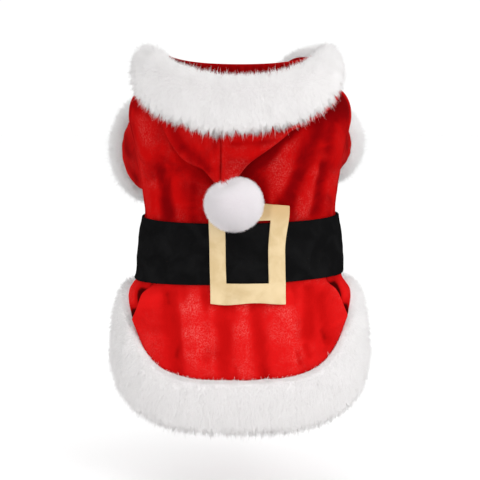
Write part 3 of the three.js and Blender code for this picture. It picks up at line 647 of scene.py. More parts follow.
class Finish:
    """A material with short calls that add and join its nodes."""

    def __init__(self, name):
        self.material = bpy.data.materials.new(name)
        self.material.use_nodes = True
        self.tree = self.material.node_tree
        self.shader = self.tree.nodes["Principled BSDF"]
        self.place = self.add("ShaderNodeTexCoord").outputs["Object"]

    def add(self, kind, settings=None, inputs=None):
        node = self.tree.nodes.new(kind)
        for key, value in (settings or {}).items():
            setattr(node, key, value)
        for key, value in (inputs or {}).items():
            self.feed(node, key, value)
        return node

    def feed(self, node, socket, value):
        if isinstance(value, bpy.types.NodeSocket):
            self.tree.links.new(value, node.inputs[socket])
        else:
            node.inputs[socket].default_value = value

    def set(self, **inputs):
        for key, value in inputs.items():
            self.feed(self.shader, key.replace("_", " ").title().replace("Ior", "IOR"), value)

    def noise(self, size, detail=2.0, roughness=0.5, distortion=0.0):
        """Uneven tone from 0 to 1, with spots of about that size in metres."""
        inputs = {"Vector": self.place, "Scale": 1 / size, "Detail": detail,
                  "Roughness": roughness, "Distortion": distortion}
        return self.add("ShaderNodeTexNoise", inputs=inputs).outputs["Fac"]

    def stored(self, attribute):
        return self.add("ShaderNodeAttribute", {"attribute_name": attribute}).outputs["Fac"]

    def span(self, value, low, high, to_low=0.0, to_high=1.0):
        """The value taken smoothly from one span to another."""
        inputs = {"Value": value, "From Min": low, "From Max": high, "To Min": to_low,
                  "To Max": to_high}
        node = self.add("ShaderNodeMapRange", {"interpolation_type": "SMOOTHSTEP"}, inputs)
        return node.outputs["Result"]

    def times(self, a, b):
        return self.add("ShaderNodeMath", {"operation": "MULTIPLY"}, {0: a, 1: b}).outputs[0]

    def plus(self, a, b):
        return self.add("ShaderNodeMath", {"operation": "ADD"}, {0: a, 1: b}).outputs[0]

    def tint(self, share, a, b):
        """Colour between two colours."""
        node = self.add("ShaderNodeMix", {"data_type": "RGBA"}, {0: share, 6: a, 7: b})
        return node.outputs[2]

    def bump(self, height, depth, strength=1.0, under=None):
        inputs = {"Height": height, "Distance": depth, "Strength": strength}
        if under:
            inputs["Normal"] = under
        return self.add("ShaderNodeBump", inputs=inputs).outputs["Normal"]


def opaque(colour):
    return (*colour, 1.0)


def dimmed(colour, *shares):
    """The colour with each channel at its share, or all at one."""
    return tuple(channel * share for channel, share in zip(colour, shares * 3))


def finish_once(name, build):
    """The named material, built the first time it is asked for."""
    found = bpy.data.materials.get(name)
    return found or build(Finish(name)).material


def velvet(context):
    """Crushed red velvet: pile that lies light or deep at random, painted light on ridges and painted shade
    in troughs, painted shadow in closed creases, and frosty painted glints of sheen on ridges.
    """
    colours = context.scene.coat_colours

    def build(finish):
        fold, nap_way = finish.stored("fold"), finish.stored("nap")
        crush = finish.noise(*SPOTS["crush"])
        nap = finish.noise(*SPOTS["nap"])
        # The velvet's lightness: the crush's random lie, plus painted light on ridges and painted shade in
        # troughs from the fold's height.
        lightness = finish.plus(finish.times(crush, LIE_OF_CRUSH), finish.times(fold, FOLD_SHADE))
        lightness = finish.span(lightness, *SETS_IN["lightness"])
        upper = finish.tint(lightness, opaque(colours.velvet_deep_and_shaded), opaque(colours.velvet))
        lower = finish.tint(lightness, opaque(colours.skirt_deep_and_shaded), opaque(colours.skirt))
        pile = finish.tint(nap_way, upper, lower)
        # Painted glints of sheen: pale flecks on ridges, in random patches, more of them below the belt.
        patch = finish.span(finish.noise(*SPOTS["patch"]), *SETS_IN["patch"])
        ridge = finish.span(fold, *SETS_IN["ridge"])
        speck = finish.span(finish.noise(*SPOTS["speck"]), *SETS_IN["speck"])
        share = finish.span(nap_way, 0, 1, *PAINTED_GLINT_SHARE)
        painted_glint = finish.times(finish.times(patch, ridge), finish.times(speck, share))
        # Painted shadow, near black, where the stored fold is deepest: closed creases, under the lap and
        # under the hood's edge.
        painted_shadow = finish.span(fold, *SETS_IN["painted_shadow"])
        colour = finish.tint(painted_glint, pile, opaque(colours.painted_glint))
        colour = finish.tint(painted_shadow, opaque(colours.velvet_shadow), colour)
        normal = finish.bump(nap, *RELIEF["nap"], finish.bump(crush, *RELIEF["crush"]))
        finish.set(base_color=colour, roughness=0.9, normal=normal, specular_ior_level=0.0,
                   sheen_weight=0.02, sheen_roughness=0.4, sheen_tint=opaque(colours.sheen))
        return finish

    return finish_once("crushed_velvet", build)


def knit_back(context):
    """The wrong side of the velvet: a plain fine knit."""
    colours = context.scene.coat_colours

    def build(finish):
        inputs = {"Vector": finish.place, **WALES}
        wales = finish.add("ShaderNodeTexWave", {"bands_direction": "X"}, inputs).outputs["Fac"]
        tone = finish.span(finish.noise(*SPOTS["knit"]), *SETS_IN["knit"], *KNIT_SHARE)
        colour = finish.tint(tone, opaque(colours.knit), opaque(colours.velvet_deep_and_shaded))
        normal = finish.bump(wales, *RELIEF["knit"])
        finish.set(base_color=colour, roughness=0.9, normal=normal, specular_ior_level=0.15)
        return finish

    return finish_once("velvet_back", build)


def plush_finish(name, colour):
    """White pile with painted shade down at its roots, a little darker and warmer there."""

    def build(finish):
        height = finish.stored("height")
        shade = finish.span(height, *SETS_IN["roots"])
        roots = dimmed(colour, *TONES["roots"])
        patch = finish.noise(*SPOTS["plush"])
        tone = finish.times(shade, finish.span(patch, *SETS_IN["plush"], *PLUSH_SHARE))
        finish.set(base_color=finish.tint(tone, opaque(roots), opaque(colour)), roughness=0.85,
                   specular_ior_level=0.2, sheen_weight=0.15, sheen_roughness=0.6)
        return finish

    return finish_once(name, build)


def belt_velvet(context):
    """Short dense black velvet, matt, with a faint lie of the pile."""
    colours = context.scene.coat_colours

    def build(finish):
        nap = finish.noise(*SPOTS["belt_nap"])
        lightness = finish.span(finish.noise(*SPOTS["belt_lie"]), *SETS_IN["belt_lie"])
        worn = dimmed(colours.belt, *TONES["worn"])
        colour = finish.tint(lightness, opaque(colours.belt), opaque(worn))
        normal = finish.bump(nap, *RELIEF["belt_nap"], finish.bump(lightness, *RELIEF["belt_lie"]))
        finish.set(base_color=colour, roughness=0.95, normal=normal, specular_ior_level=0.0)
        return finish

    return finish_once("belt_pile", build)


def gold_cloth(context):
    """Soft coated cloth in pale satin gold, with a very fine grain and painted shade over its top bar."""
    colours = context.scene.coat_colours

    def build(finish):
        grain = finish.noise(*SPOTS["gold_grain"])
        tone = finish.span(finish.noise(*SPOTS["gold_tone"]), *SETS_IN["gold_tone"])
        deep = dimmed(colours.buckle, *TONES["deep_gold"])
        turned = dimmed(colours.buckle, *TONES["top_shade_gold"])
        height = finish.add("ShaderNodeSeparateXYZ", inputs={"Vector": finish.place}).outputs["Z"]
        colour = finish.tint(tone, opaque(deep), opaque(colours.buckle))
        # Painted shade over the buckle's top bar, set by height.
        colour = finish.tint(finish.span(height, *SETS_IN["gold_top_shade"]), colour, opaque(turned))
        normal = finish.bump(grain, *RELIEF["gold_grain"], finish.bump(tone, *RELIEF["gold_tone"]))
        finish.set(base_color=colour, roughness=0.5, metallic=0.1, normal=normal,
                   specular_ior_level=0.3)
        return finish

    return finish_once("satin_gold", build)


def floor_finish(context):
    """Plain pale studio paper, with the faintest mottle."""
    colours = context.scene.coat_colours

    def build(finish):
        tone = finish.noise(*SPOTS["floor"])
        deep = dimmed(colours.floor, *TONES["floor"])
        finish.set(base_color=finish.tint(tone, opaque(deep), opaque(colours.floor)), roughness=0.9)
        return finish

    return finish_once("studio_paper", build)


def cloth_piece(context, name, points, fold, around=False):
    """A velvet piece from a grid of points, with the height of its folds, and any painted shade, kept for
    its finish.
    """
    rows, columns = points.shape[:2]
    piece = make_piece(name, points.reshape(-1, 3), grid_faces(rows, columns, around),
                       velvet(context), knit_back(context))
    keep_values(piece, "fold", fold)
    make_wall(piece, context.scene.coat_sizes.cloth)
    return piece


def seam_dip(away, sizes):
    """How far cloth is drawn in beside a seam that lies that many millimetres away."""
    return -sizes.seam_depth / MM * np.exp(-((away / SEAM_WIDTH) ** 2))


def row_shares(above, under, below):
    """Shares of the way from neck to hem, for rows above, under and below the belt."""
    return np.concatenate([
        np.linspace(0, BELT_SHARE_TOP, above, endpoint=False),
        np.linspace(BELT_SHARE_TOP, BELT_SHARE_BOTTOM, under, endpoint=False),
        np.linspace(BELT_SHARE_BOTTOM, 1, below),
    ])


def scatter(grid, count, rng):
    """Places spread evenly over a ring's surface: point, outward normal, way down and share down."""
    right = np.roll(grid, -1, axis=1)
    a, b, c, d = (part.reshape(-1, 3) for part in (grid[:-1], right[:-1], right[1:], grid[1:]))
    area = np.linalg.norm(np.cross(c - a, b - d), axis=1)
    cell = rng.choice(len(area), count, p=area / area.sum())
    u, v = rng.random((2, count, 1))
    a, b, c, d = a[cell], b[cell], c[cell], d[cell]
    place = mix(mix(a, b, u), mix(d, c, u), v)
    down = mix(d - a, c - b, u)
    normal = unit(np.cross(down, mix(b - a, c - d, v)))
    share = (cell // grid.shape[1] + v[:, 0]) / (len(grid) - 1)
    return place, normal, unit(down), share


def comb_pile(place, way, length, locks, pull, rng):
    """Strand ends drawn together in locks, with a number from 0 to 1 for each strand's lock."""
    leaders = rng.choice(len(place), locks, replace=False)
    tree = KDTree(locks)
    for i, leader in enumerate(leaders):
        tree.insert(Vector(place[leader]), i)
    tree.balance()
    lock = np.array([tree.find(Vector(point))[1] for point in place])
    own = place + way * length[:, None]
    lead = own[leaders][lock]
    share = (pull * rng.uniform(*PULL_SPREAD, len(place)))[:, None]
    tip = mix(own, lead, np.clip(share, 0, MOST_PULL))
    reach = unit(tip - place) * length[:, None]
    return place + reach, rng.random(locks)[lock]


def strand_piece(name, place, normal, tip, width, finish, tone, rng):
    """Pointed strands of pile joined as one mesh: each has three sides, so it looks alike all round."""
    way = unit(tip - place)
    side = unit(np.cross(way, unit(normal + rng.normal(size=place.shape))))
    other = np.cross(way, side)
    turn = 2 * np.pi * np.arange(3) / 3
    roots = [place + (side * np.cos(t) + other * np.sin(t)) * width[:, None] / 2 for t in turn]
    points = np.stack([*roots, tip], 1)
    start = 4 * np.arange(len(place))[:, None, None]
    faces = (start + np.array([[0, 1, 3], [1, 2, 3], [2, 0, 3]])).reshape(-1, 3)
    piece = make_piece(name, points.reshape(-1, 3), faces, finish)
    # The stored height is low at the roots, where the finish paints shade, and dimmed at random for each
    # lock.
    high = np.array([ROOT_SHADE] * 3 + [1.0])[None, :] * mix(DIM_LOCK, 1.0, tone)[:, None]
    keep_values(piece, "height", high)
    outward = points - place[:, None]
    outward[:, 3] = normal
    soft = unit(mix(unit(outward), normal[:, None], SOFT_SHADING))
    piece.data.normals_split_custom_set_from_vertices(soft.reshape(-1, 3).tolist())
    piece.visible_shadow = False
    return piece


def grow_pile(name, grid, count, length, width, comb, finish, locks, seed, pull, wild=PILE_WILD,
              strays=PILE_STRAYS):
    """Pile on a trim's backing. comb gives how far the pile is stroked down, from the share down."""
    rng = np.random.default_rng(seed)
    place, normal, down, share = scatter(grid, count, rng)
    stroke = down * comb(share)[:, None]
    way = unit(normal + stroke + wild * rng.normal(size=place.shape))
    long = length * rng.uniform(*STRAND_LENGTHS, count)
    long = long * mix(UPPER_EDGE_LENGTH, 1.0, ease(share, *UPPER_EDGE))
    stray = rng.random(count) < strays
    long *= np.where(stray, STRAY_LENGTH, 1.0)
    drawn = pull * mix(*EDGE_PULL, ease(share, *DRAWN_OVER))
    tip, tone = comb_pile(place, way, long, locks, drawn, rng)
    wide = width * rng.uniform(*STRAND_WIDTHS, count)
    sunk = place - normal * ROOT_DEPTH
    shown = unit(normal + EDGE_TURN * down * ease(share, *TURNED_OVER)[:, None])
    return strand_piece(name, sunk, shown, tip, wide, finish, tone, rng)


def length_property(label, text, value, digits=4):
    return bpy.props.FloatProperty(
        name=label, description=text, default=value, unit="LENGTH", precision=digits)


def count_property(label, text, value):
    return bpy.props.IntProperty(name=label, description=text, default=value, min=0)


def power_property(label, text, value):
    return bpy.props.FloatProperty(name=label, description=text, default=value, unit="POWER")


def colour_property(label, text, value):
    return bpy.props.FloatVectorProperty(
        name=label, description=text, default=value, subtype="COLOR", size=3, min=0.0, max=1.0)


class CoatSizes(bpy.types.PropertyGroup):
    """Thicknesses and depths of the coat's cloth."""

    cloth: length_property("Cloth", "Thickness of the velvet", 0.0015)
    seam_depth: length_property("Seam depth", "How far cloth is drawn in at a seam", 0.0009)
    lap_lift: length_property("Lap lift", "How far the back panel's edge stands off below the belt", 0.0046)
    belt: length_property("Belt", "Thickness of the belt", 0.0022)
    buckle: length_property("Buckle", "Thickness of the soft buckle", 0.0018)
    casing: length_property("Casing", "Thickness of the neck casing", 0.0018)
    plush: length_property("Plush", "Thickness of the hem's and cuffs' plush", 0.012)


class PileSettings(bpy.types.PropertyGroup):
    """Length, width and number of the strands of pile."""

    trim_length: length_property("Trim pile", "Length of the trims' pile", 0.0085)
    pompom_length: length_property("Pompom pile", "Length of the pompom's pile", 0.006)
    strand_width: length_property("Strand", "Width of one strand at its root", 0.0006, 5)
    hem_strands: count_property("Hem strands", "Strands on the hem's trim", 62000)
    hood_strands: count_property("Hood strands", "Strands on the hood's trim", 60000)
    cuff_strands: count_property("Cuff strands", "Strands on each cuff", 18000)
    pompom_strands: count_property("Pompom strands", "Strands on the pompom", 36000)


class CoatColours(bpy.types.PropertyGroup):
    """Colours of the coat's materials and of the floor."""

    velvet: colour_property("Velvet", "Velvet where its pile lies light", (0.435, 0.003, 0.003))
    # Also the velvet's painted shade in troughs.
    velvet_deep_and_shaded: colour_property("Deep velvet", "Velvet where its pile lies deep", (0.17, 0.001, 0.002))
    # Painted shadow in closed creases, under the lap and under the hood's edge.
    velvet_shadow: colour_property("Shut velvet", "Velvet deep in a closed crease", (0.05, 0.001, 0.001))
    skirt: colour_property("Skirt", "Velvet below the belt, pile light", (0.62, 0.008, 0.008))
    # Also the skirt's painted shade in troughs.
    skirt_deep_and_shaded: colour_property("Deep skirt", "Velvet below the belt, pile deep", (0.45, 0.004, 0.004))
    # Painted glints of sheen on the velvet's ridges.
    painted_glint: colour_property("Frost", "Flecks on the velvet's ridges", (0.86, 0.30, 0.27))
    sheen: colour_property("Sheen", "Tint of the velvet's sheen", (1.0, 0.45, 0.40))
    knit: colour_property("Knit", "The velvet's wrong side", (0.30, 0.006, 0.010))
    plush: colour_property("Plush", "Tips of the trims' pile", (0.935, 0.92, 0.915))
    pompom: colour_property("Pompom", "Tips of the pompom's pile", (0.99, 0.95, 0.972))
    belt: colour_property("Belt", "Black velvet", (0.0048, 0.0048, 0.0050))
    buckle: colour_property("Buckle", "Pale gold cloth", (0.68, 0.53, 0.31))
    floor: colour_property("Floor", "Studio paper", (0.95, 0.95, 0.95))


class StageSettings(bpy.types.PropertyGroup):
    """Camera, lights and floor."""

    distance: length_property("Distance", "From the camera to the coat", 1.6, 2)
    elevation: bpy.props.FloatProperty(
        name="Elevation", description="Camera's angle above level", default=math.radians(9),
        subtype="ANGLE")
    look_height: length_property("Look height", "Height that the camera looks at", -0.1477)
    lens: bpy.props.FloatProperty(
        name="Lens", description="Focal length", default=139.85, unit="CAMERA")
    floor_height: length_property("Floor height", "Height of the floor", -0.36, 2)
    key_power: power_property("Key", "Power of the light from the right", 10.0)
    top_power: power_property("Top", "Power of the light from above", 3.0)
    fill_power: power_property("Fill", "Power of the light from the left", 2.6)
    surround: bpy.props.FloatProperty(
        name="Surround", description="Strength of the white surround", default=1.05, min=0.0)
    lean: bpy.props.FloatProperty(
        name="Lean", description="How much brighter the surround is on the right than on the left",
        default=0.09, min=0.0, max=1.0)


def add_light(name, place, size, power, aim):
    """A soft square light that looks at a point."""
    data = bpy.data.lights.new(name, "AREA")
    data.shape = "SQUARE"
    data.size = size
    data.energy = power
    light = bpy.data.objects.new(name, data)
    light.location = place
    light.rotation_euler = (Vector(aim) - Vector(place)).to_track_quat("-Z", "Y").to_euler()
    bpy.context.collection.objects.link(light)


def studio_surround(stage):
    """A plain white surround, brighter towards the right than towards the left."""
    world = bpy.data.worlds.new("surround")
    world.use_nodes = True
    nodes, links = world.node_tree.nodes, world.node_tree.links
    place = nodes.new("ShaderNodeTexCoord")
    parts = nodes.new("ShaderNodeSeparateXYZ")
    lean = nodes.new("ShaderNodeMapRange")
    lean.inputs["From Min"].default_value = -1
    lean.inputs["To Min"].default_value = stage.surround * (1 - stage.lean)
    lean.inputs["To Max"].default_value = stage.surround * (1 + stage.lean)
    links.new(place.outputs["Generated"], parts.inputs["Vector"])
    links.new(parts.outputs["X"], lean.inputs["Value"])
    links.new(lean.outputs["Result"], nodes["Background"].inputs["Strength"])
    nodes["Background"].inputs["Color"].default_value = (1, 1, 1, 1)
    return world


class COAT_OT_stage(bpy.types.Operator):
    """Add the camera, the soft studio lights and the pale floor"""

    bl_idname = "coat.stage"
    bl_label = "Stage"

    def execute(self, context):
        stage = context.scene.coat_stage
        aim = Vector((0, 0, stage.look_height))
        back = Vector((0, -math.cos(stage.elevation), math.sin(stage.elevation)))
        data = bpy.data.cameras.new("camera")
        data.lens = stage.lens
        camera = bpy.data.objects.new("camera", data)
        camera.location = aim + back * stage.distance
        camera.rotation_euler = (-back).to_track_quat("-Z", "Y").to_euler()
        context.collection.objects.link(camera)
        context.scene.camera = camera
        context.scene.view_settings.view_transform = "Standard"
        for name, (place, size) in LIGHTS.items():
            add_light(name, place, size, getattr(stage, f"{name}_power"), aim)
        context.scene.world = studio_surround(stage)
        half = FLOOR_HALF_WIDTH
        corners = np.array([[-half, -half, 0], [half, -half, 0], [half, half, 0], [-half, half, 0.0]])
        corners[:, 2] = stage.floor_height / MM
        floor = make_piece("floor", corners, np.array([[0, 1, 2, 3]]), floor_finish(context))
        return {"FINISHED"}


class COAT_OT_back_panel(bpy.types.Operator):
    """Add the velvet back panel with its folds"""

    bl_idname = "coat.back_panel"
    bl_label = "Back panel"

    def execute(self, context):
        sizes = context.scene.coat_sizes
        share = row_shares(*BACK_ROWS)[:, None]
        across = np.linspace(-1, 1, BACK_COLUMNS)[None, :]
        seam = side_seam_angle(share)
        angle = across * seam
        z = height_at(angle, share)
        rise = ease(share, BELT_SHARE_BOTTOM, BELT_SHARE_BOTTOM + LAP_HALF_SPAN)
        rise = rise * (1 - ease(share, LAP_MIDDLE_SHARE + LAP_HALF_SPAN, 1))
        lift = sizes.lap_lift / MM * rise * ease(np.abs(across), LAP_EDGE_SHARE, 1)
        smooth = body_point(angle, z)
        to_side = away_from_sides(smooth)
        to_hem = z - round_line("hem", angle)
        dip = seam_dip(to_side, sizes) * (1 - rise) + seam_dip(to_hem, sizes)
        crush = crushed(smooth, BACK_CRUSH_SEED)
        points = coat_point(angle, z, lift + dip + crush * free_of_seam(to_side))
        x = smooth[..., 0]
        # Painted shadow on the back under the hood's lower edge, strongest on the right.
        low = read_table(HOOD_POINT, "x", "bottom", x)
        far, near = HOOD_SHADE_REACH
        shadow = HOOD_SHADE * ease(z, low - far, low - near)
        shadow = shadow * mix(HOOD_SHADE_LEFT, 1, ease(x, -HOOD_SHADE_TURN, HOOD_SHADE_TURN))
        fold = cloth_height(angle, z) + crush + dip - shadow
        piece = cloth_piece(context, "back_panel_cloth", points, fold)
        keep_values(piece, "nap", ease(z, *SKIRT_NAP))
        attach(piece, "red_velvet", "back_panel")
        return {"FINISHED"}


def sleeve_reach(sleeve, angle, z):
    """How far out from the middle of the armhole a place lies, where 1 is its edge."""
    folded = angle * sleeve["side"]
    folded = np.where(folded < 0, folded + 360, folded)
    aside = (folded - sleeve["angle"]) / sleeve["span"]
    up = (z - sleeve["z"]) / sleeve["half_height"]
    return aside, up, np.hypot(aside, up)


class COAT_OT_belly_panel(bpy.types.Operator):
    """Add the velvet belly panel with its two armholes"""

    bl_idname = "coat.belly_panel"
    bl_label = "Belly panel"

    def execute(self, context):
        sizes = context.scene.coat_sizes
        share = row_shares(*BELLY_ROWS)[:, None]
        across = np.linspace(0, 1, BELLY_COLUMNS)[None, :]
        lap = LAP_ANGLE * np.maximum(0, 1 - np.abs(share - LAP_MIDDLE_SHARE) / LAP_HALF_SPAN)
        start = side_seam_angle(share) - lap
        angle = mix(start, 360 - start, across)
        z = height_at(angle, share)
        dip = np.zeros_like(z)
        inside = np.zeros(z.shape, bool)
        for sleeve in SLEEVES.values():
            aside, up, reach = sleeve_reach(sleeve, angle, z)
            hole = reach < 1
            inside |= hole
            from_middle = np.maximum(reach, TINY)
            folded = sleeve["angle"] + sleeve["span"] * aside / from_middle
            turned = np.where(sleeve["side"] < 0, 360 - folded, folded)
            angle = np.where(hole, turned, angle)
            z = np.where(hole, sleeve["z"] + sleeve["half_height"] * up / from_middle, z)
            dip = dip + seam_dip((np.maximum(reach, 1) - 1) * sleeve["half_height"], sizes)
        smooth = body_point(angle, z)
        to_side = away_from_sides(smooth)
        dip = dip + seam_dip(to_side, sizes) + seam_dip(z - round_line("hem", angle), sizes)
        crush = crushed(smooth, BELLY_CRUSH_SEED)
        points = coat_point(angle, z, dip + crush * free_of_seam(to_side))
        faces = grid_faces(*z.shape)
        faces = faces[~inside.ravel()[faces].all(axis=1)]
        used, faces = np.unique(faces, return_inverse=True)
        piece = make_piece("belly_panel_cloth", points.reshape(-1, 3)[used], faces.reshape(-1, 4),
                           velvet(context), knit_back(context))
        # Painted shadow on the side panel where the back panel's lap stands over it.
        lap_shadow = LAP_SHADE["depth"] * np.exp(-((to_side / LAP_SHADE["width"]) ** 4))
        lap_shadow = lap_shadow * ease(share, BELT_SHARE_BOTTOM, LAP_SHADE["full_share"])
        fold = cloth_height(angle, z) + crush + dip - lap_shadow
        keep_values(piece, "fold", fold.ravel()[used])
        make_wall(piece, sizes.cloth)
        keep_values(piece, "nap", ease(z, *SKIRT_NAP).ravel()[used])
        attach(piece, "red_velvet", "belly_panel")
        return {"FINISHED"}


def armhole_ring(sleeve, turn, out):
    """The ring where the sleeve is sewn to the belly panel."""
    angle = sleeve["angle"] - sleeve["span"] * np.cos(turn)
    z = sleeve["z"] + sleeve["half_height"] * np.sin(turn)
    return coat_point(sleeve["side"] * angle, z, out)


def cuff_ring(sleeve, turn, grow=0.0, along=0.0):
    """The ring where the cuff is sewn to the sleeve, or one larger and further along."""
    x, y, z = sleeve["end"]
    side = np.cos(turn)
    return np.stack([
        sleeve["side"] * (x + (sleeve["end_half_width"] + grow) * side),
        y + along - SLEEVE_TILT * side,
        z + (sleeve["end_half_height"] + grow) * np.sin(turn),
    ], -1)


class COAT_OT_sleeves(bpy.types.Operator):
    """Add the two velvet sleeves, slack between armhole and cuff"""

    bl_idname = "coat.sleeves"
    bl_label = "Sleeves"

    def execute(self, context):
        sizes = context.scene.coat_sizes
        forward = np.array([0.0, 1.0, 0.0])
        for name, sleeve in SLEEVES.items():
            turn = np.linspace(0, 2 * np.pi, RING_COLUMNS, endpoint=False)
            if sleeve["side"] < 0:
                turn = turn[::-1]
            t = np.linspace(0, 1, SLEEVE_ROWS)[:, None, None]
            drawn_in = seam_dip(0, sizes)
            first, last = armhole_ring(sleeve, turn, drawn_in), cuff_ring(sleeve, turn)
            pull = SLEEVE_PULL * np.linalg.norm(last - first, axis=-1, keepdims=True) * forward
            rings = ((1 - t) ** 3 * first + 3 * (1 - t) ** 2 * t * (first + pull)
                     + 3 * (1 - t) * t**2 * (last - pull) + t**3 * last)
            middle = rings.mean(axis=1, keepdims=True)
            outward = unit(rings - middle)
            along = t[..., 0]
            degrees = np.degrees(turn)[None, :]
            fold = np.zeros((len(along), len(turn)))
            for at, deepest, width, height in zip(*SLEEVE_FOLDS.values()):
                away = (degrees - at + 180) % 360 - 180
                off = (along - deepest) / SLEEVE_FOLD_LENGTH
                fold += height * np.exp(-((away / width) ** 2) - off ** 2)
            uneven = GATHER_COUNT * turn + GATHER_DRIFT * np.sin(3 * turn + sleeve["side"])
            fold += GATHER_DEPTH * np.sin(uneven)[None, :] * ease(along, GATHERS_FROM, 1)
            crush = wobble(rings, SLEEVE_CRUSH["size"], SLEEVE_CRUSH["seed"])
            fold = SLEEVE_FOLD_SHARE * fold + SLEEVE_CRUSH["height"] * crush
            ends = np.sin(np.pi * np.clip(along, 0, 1)) ** SLEEVE_END_FADE
            length = np.linalg.norm(last - first, axis=-1)[None, :]
            height = fold * ends + seam_dip((1 - along) * length, sizes)
            points = rings + outward * height[..., None]
            piece = cloth_piece(context, f"sleeve_{name}_cloth", points, height, around=True)
            attach(piece, "red_velvet", f"sleeve_{name}")
        return {"FINISHED"}


def round_section(rows_face, rows_edge):
    """A flat band's section: share down it and share of its thickness, round at both edges."""
    face = np.linspace(0, 1, rows_face)
    turn = np.linspace(0, np.pi, rows_edge + 2)[1:-1]
    share = np.concatenate([face, np.ones(rows_edge), face[::-1], np.zeros(rows_edge)])
    out = np.concatenate([np.ones(rows_face), 0.5 + 0.5 * np.cos(turn), np.zeros(rows_face),
                          0.5 - 0.5 * np.cos(turn)])
    past = np.concatenate([np.zeros(rows_face), np.sin(turn), np.zeros(rows_face), -np.sin(turn)])
    return share[:, None], out[:, None], past[:, None]


class COAT_OT_neck_casing(bpy.types.Operator):
    """Add the narrow velvet casing that gathers the neck"""

    bl_idname = "coat.neck_casing"
    bl_label = "Neck casing"

    def execute(self, context):
        thick = context.scene.coat_sizes.casing / MM
        angle = np.linspace(0, 360, CASING_COLUMNS, endpoint=False)[None, :]
        share, out, past = round_section(*CASING_SECTION)
        share = 1 - share
        seam, top = round_line("neck", angle), round_line("casing", angle)
        point = body_point(angle, seam + 0 * share)
        level = point[..., :2]
        outward = unit(level)
        turn = np.radians(angle)
        uneven = CASING_PUCKER["count"] * turn + CASING_PUCKER["drift"] * np.sin(5 * turn)
        pucker = CASING_PUCKER["depth"] * np.sin(uneven) * np.sin(np.pi * share) * (out > 0.5)
        reach = (out - 1) * thick + pucker
        level = level * (1 + CASING_FLARE * share)[..., None] + outward * reach[..., None]
        z = mix(seam + SEAM_GAP, top, share) - past * thick / 2
        points = np.concatenate([level, z[..., None]], -1)
        piece = make_piece("neck_casing_cloth", points.reshape(-1, 3),
                           grid_faces(*z.shape, around=True, tube=True), velvet(context))
        # The stored fold carries the casing's painted shade, darker in the puckers' troughs.
        keep_values(piece, "fold", pucker + CASING_SHADE + 0 * z)
        attach(piece, "red_velvet", "neck_casing")
        return {"FINISHED"}


def meridian(angle):
    """Distances down the coat from the neck seam at one angle, and their heights."""
    neck = float(round_line("neck", np.array(angle)))
    z = np.arange(neck, MERIDIAN_END, -MERIDIAN_STEP)
    line = body_point(np.full_like(z, angle), z)
    along = np.concatenate([[0], np.cumsum(np.linalg.norm(np.diff(line, axis=0), axis=1))])
    return z, along


def hood_section(angle, rows_trim, rows_point, rows_turn, rows_inner):
    """One section of the hood: heights on the coat with heights off it, from the rim down the outer
    layer, round the fold at the bottom and up the inner layer."""
    z, along = meridian(angle)
    column = {name: float(read_table(HOOD_TRIM, "angle", name, np.array(angle)))
              for name in ("lower", "rim", "drop")}
    trim_end = np.interp(-column["lower"], -z, along)
    end = trim_end + HOOD_BELOW_TRIM
    if abs(angle) < HOOD_POINT_SPAN:
        x = float(body_point(np.array(angle), np.array(float(HOOD_POINT_HEIGHT)))[0])
        bottom = float(read_table(HOOD_POINT, "x", "bottom", np.array(x)))
        pointed = np.interp(-bottom, -z, along)
        end = max(end, mix(pointed, end, ease(abs(angle), *HOOD_POINT_FADE)))
    radius = (HOOD_LOW_HEIGHT - HOOD_REST) / 2
    down = np.concatenate([
        np.linspace(column["drop"], trim_end - radius, rows_trim, endpoint=False),
        np.linspace(trim_end - radius, end - radius, rows_point),
    ])
    off = mix(column["rim"], HOOD_LOW_HEIGHT, ease(down / (end - radius), 0, 1))
    turn = np.linspace(0, np.pi, rows_turn + 1)[1:]
    down = np.concatenate([down, end - radius + radius * np.sin(turn),
                           np.linspace(end - radius, SEAM_GAP, rows_inner + 1)[1:]])
    off = np.concatenate([off, HOOD_REST + radius + radius * np.cos(turn),
                          np.full(rows_inner, HOOD_REST)])
    slope = (z[0] - z[1]) / (along[1] - along[0])
    height = np.where(down < 0, z[0] - down * slope, np.interp(down, along, z))
    return height, off


def hood_grid(angles, rows):
    """Heights on the coat and heights off it, for each row of the hood's section and each angle."""
    sections = [hood_section(float(angle), **rows) for angle in angles]
    z = np.stack([section[0] for section in sections], 1)
    off = np.stack([section[1] for section in sections], 1)
    return z, off


def hood_seam_angle():
    return float(angle_across(np.array(float(HOOD_SEAM_X)), np.array(float(HOOD_POINT_HEIGHT))))


def hood_angles(side, count_back, count_throat):
    """Angles of one half of the hood, from the seam at mid back to the seam at the throat."""
    flank = side * float(side_seam_angle(np.array(0.0)))
    return np.concatenate([
        np.linspace(hood_seam_angle(), flank, count_back, endpoint=False),
        np.linspace(flank, side * 180, count_throat),
    ])


def hood_looseness(z, side, smooth):
    """How far the hood's lower edge stands off on the right, and its tip over the pompom."""
    outer = HOOD_ROWS["rows_trim"] + HOOD_ROWS["rows_point"]
    down = np.zeros(len(z))
    down[:outer] = ease(np.arange(outer), HOOD_LOOSE_FROM * outer, outer)
    turn = np.linspace(0, np.pi, HOOD_ROWS["rows_turn"] + 1)[1:]
    down[outer : outer + len(turn)] = 0.5 + 0.5 * np.cos(turn)
    edge = HOOD_EDGE_LIFT * (side > 0) * ease(smooth[..., 0], *HOOD_EDGE_FADE)
    tip = HOOD_TIP["lift"] * np.exp(
        -(((smooth[..., 0] - HOOD_TIP["x"]) / HOOD_TIP["width"]) ** 2)
        - ((z - HOOD_TIP["z"]) / HOOD_TIP["height"]) ** 2
    )
    return (edge + tip) * down[:, None] * (smooth[..., 1] < 0)


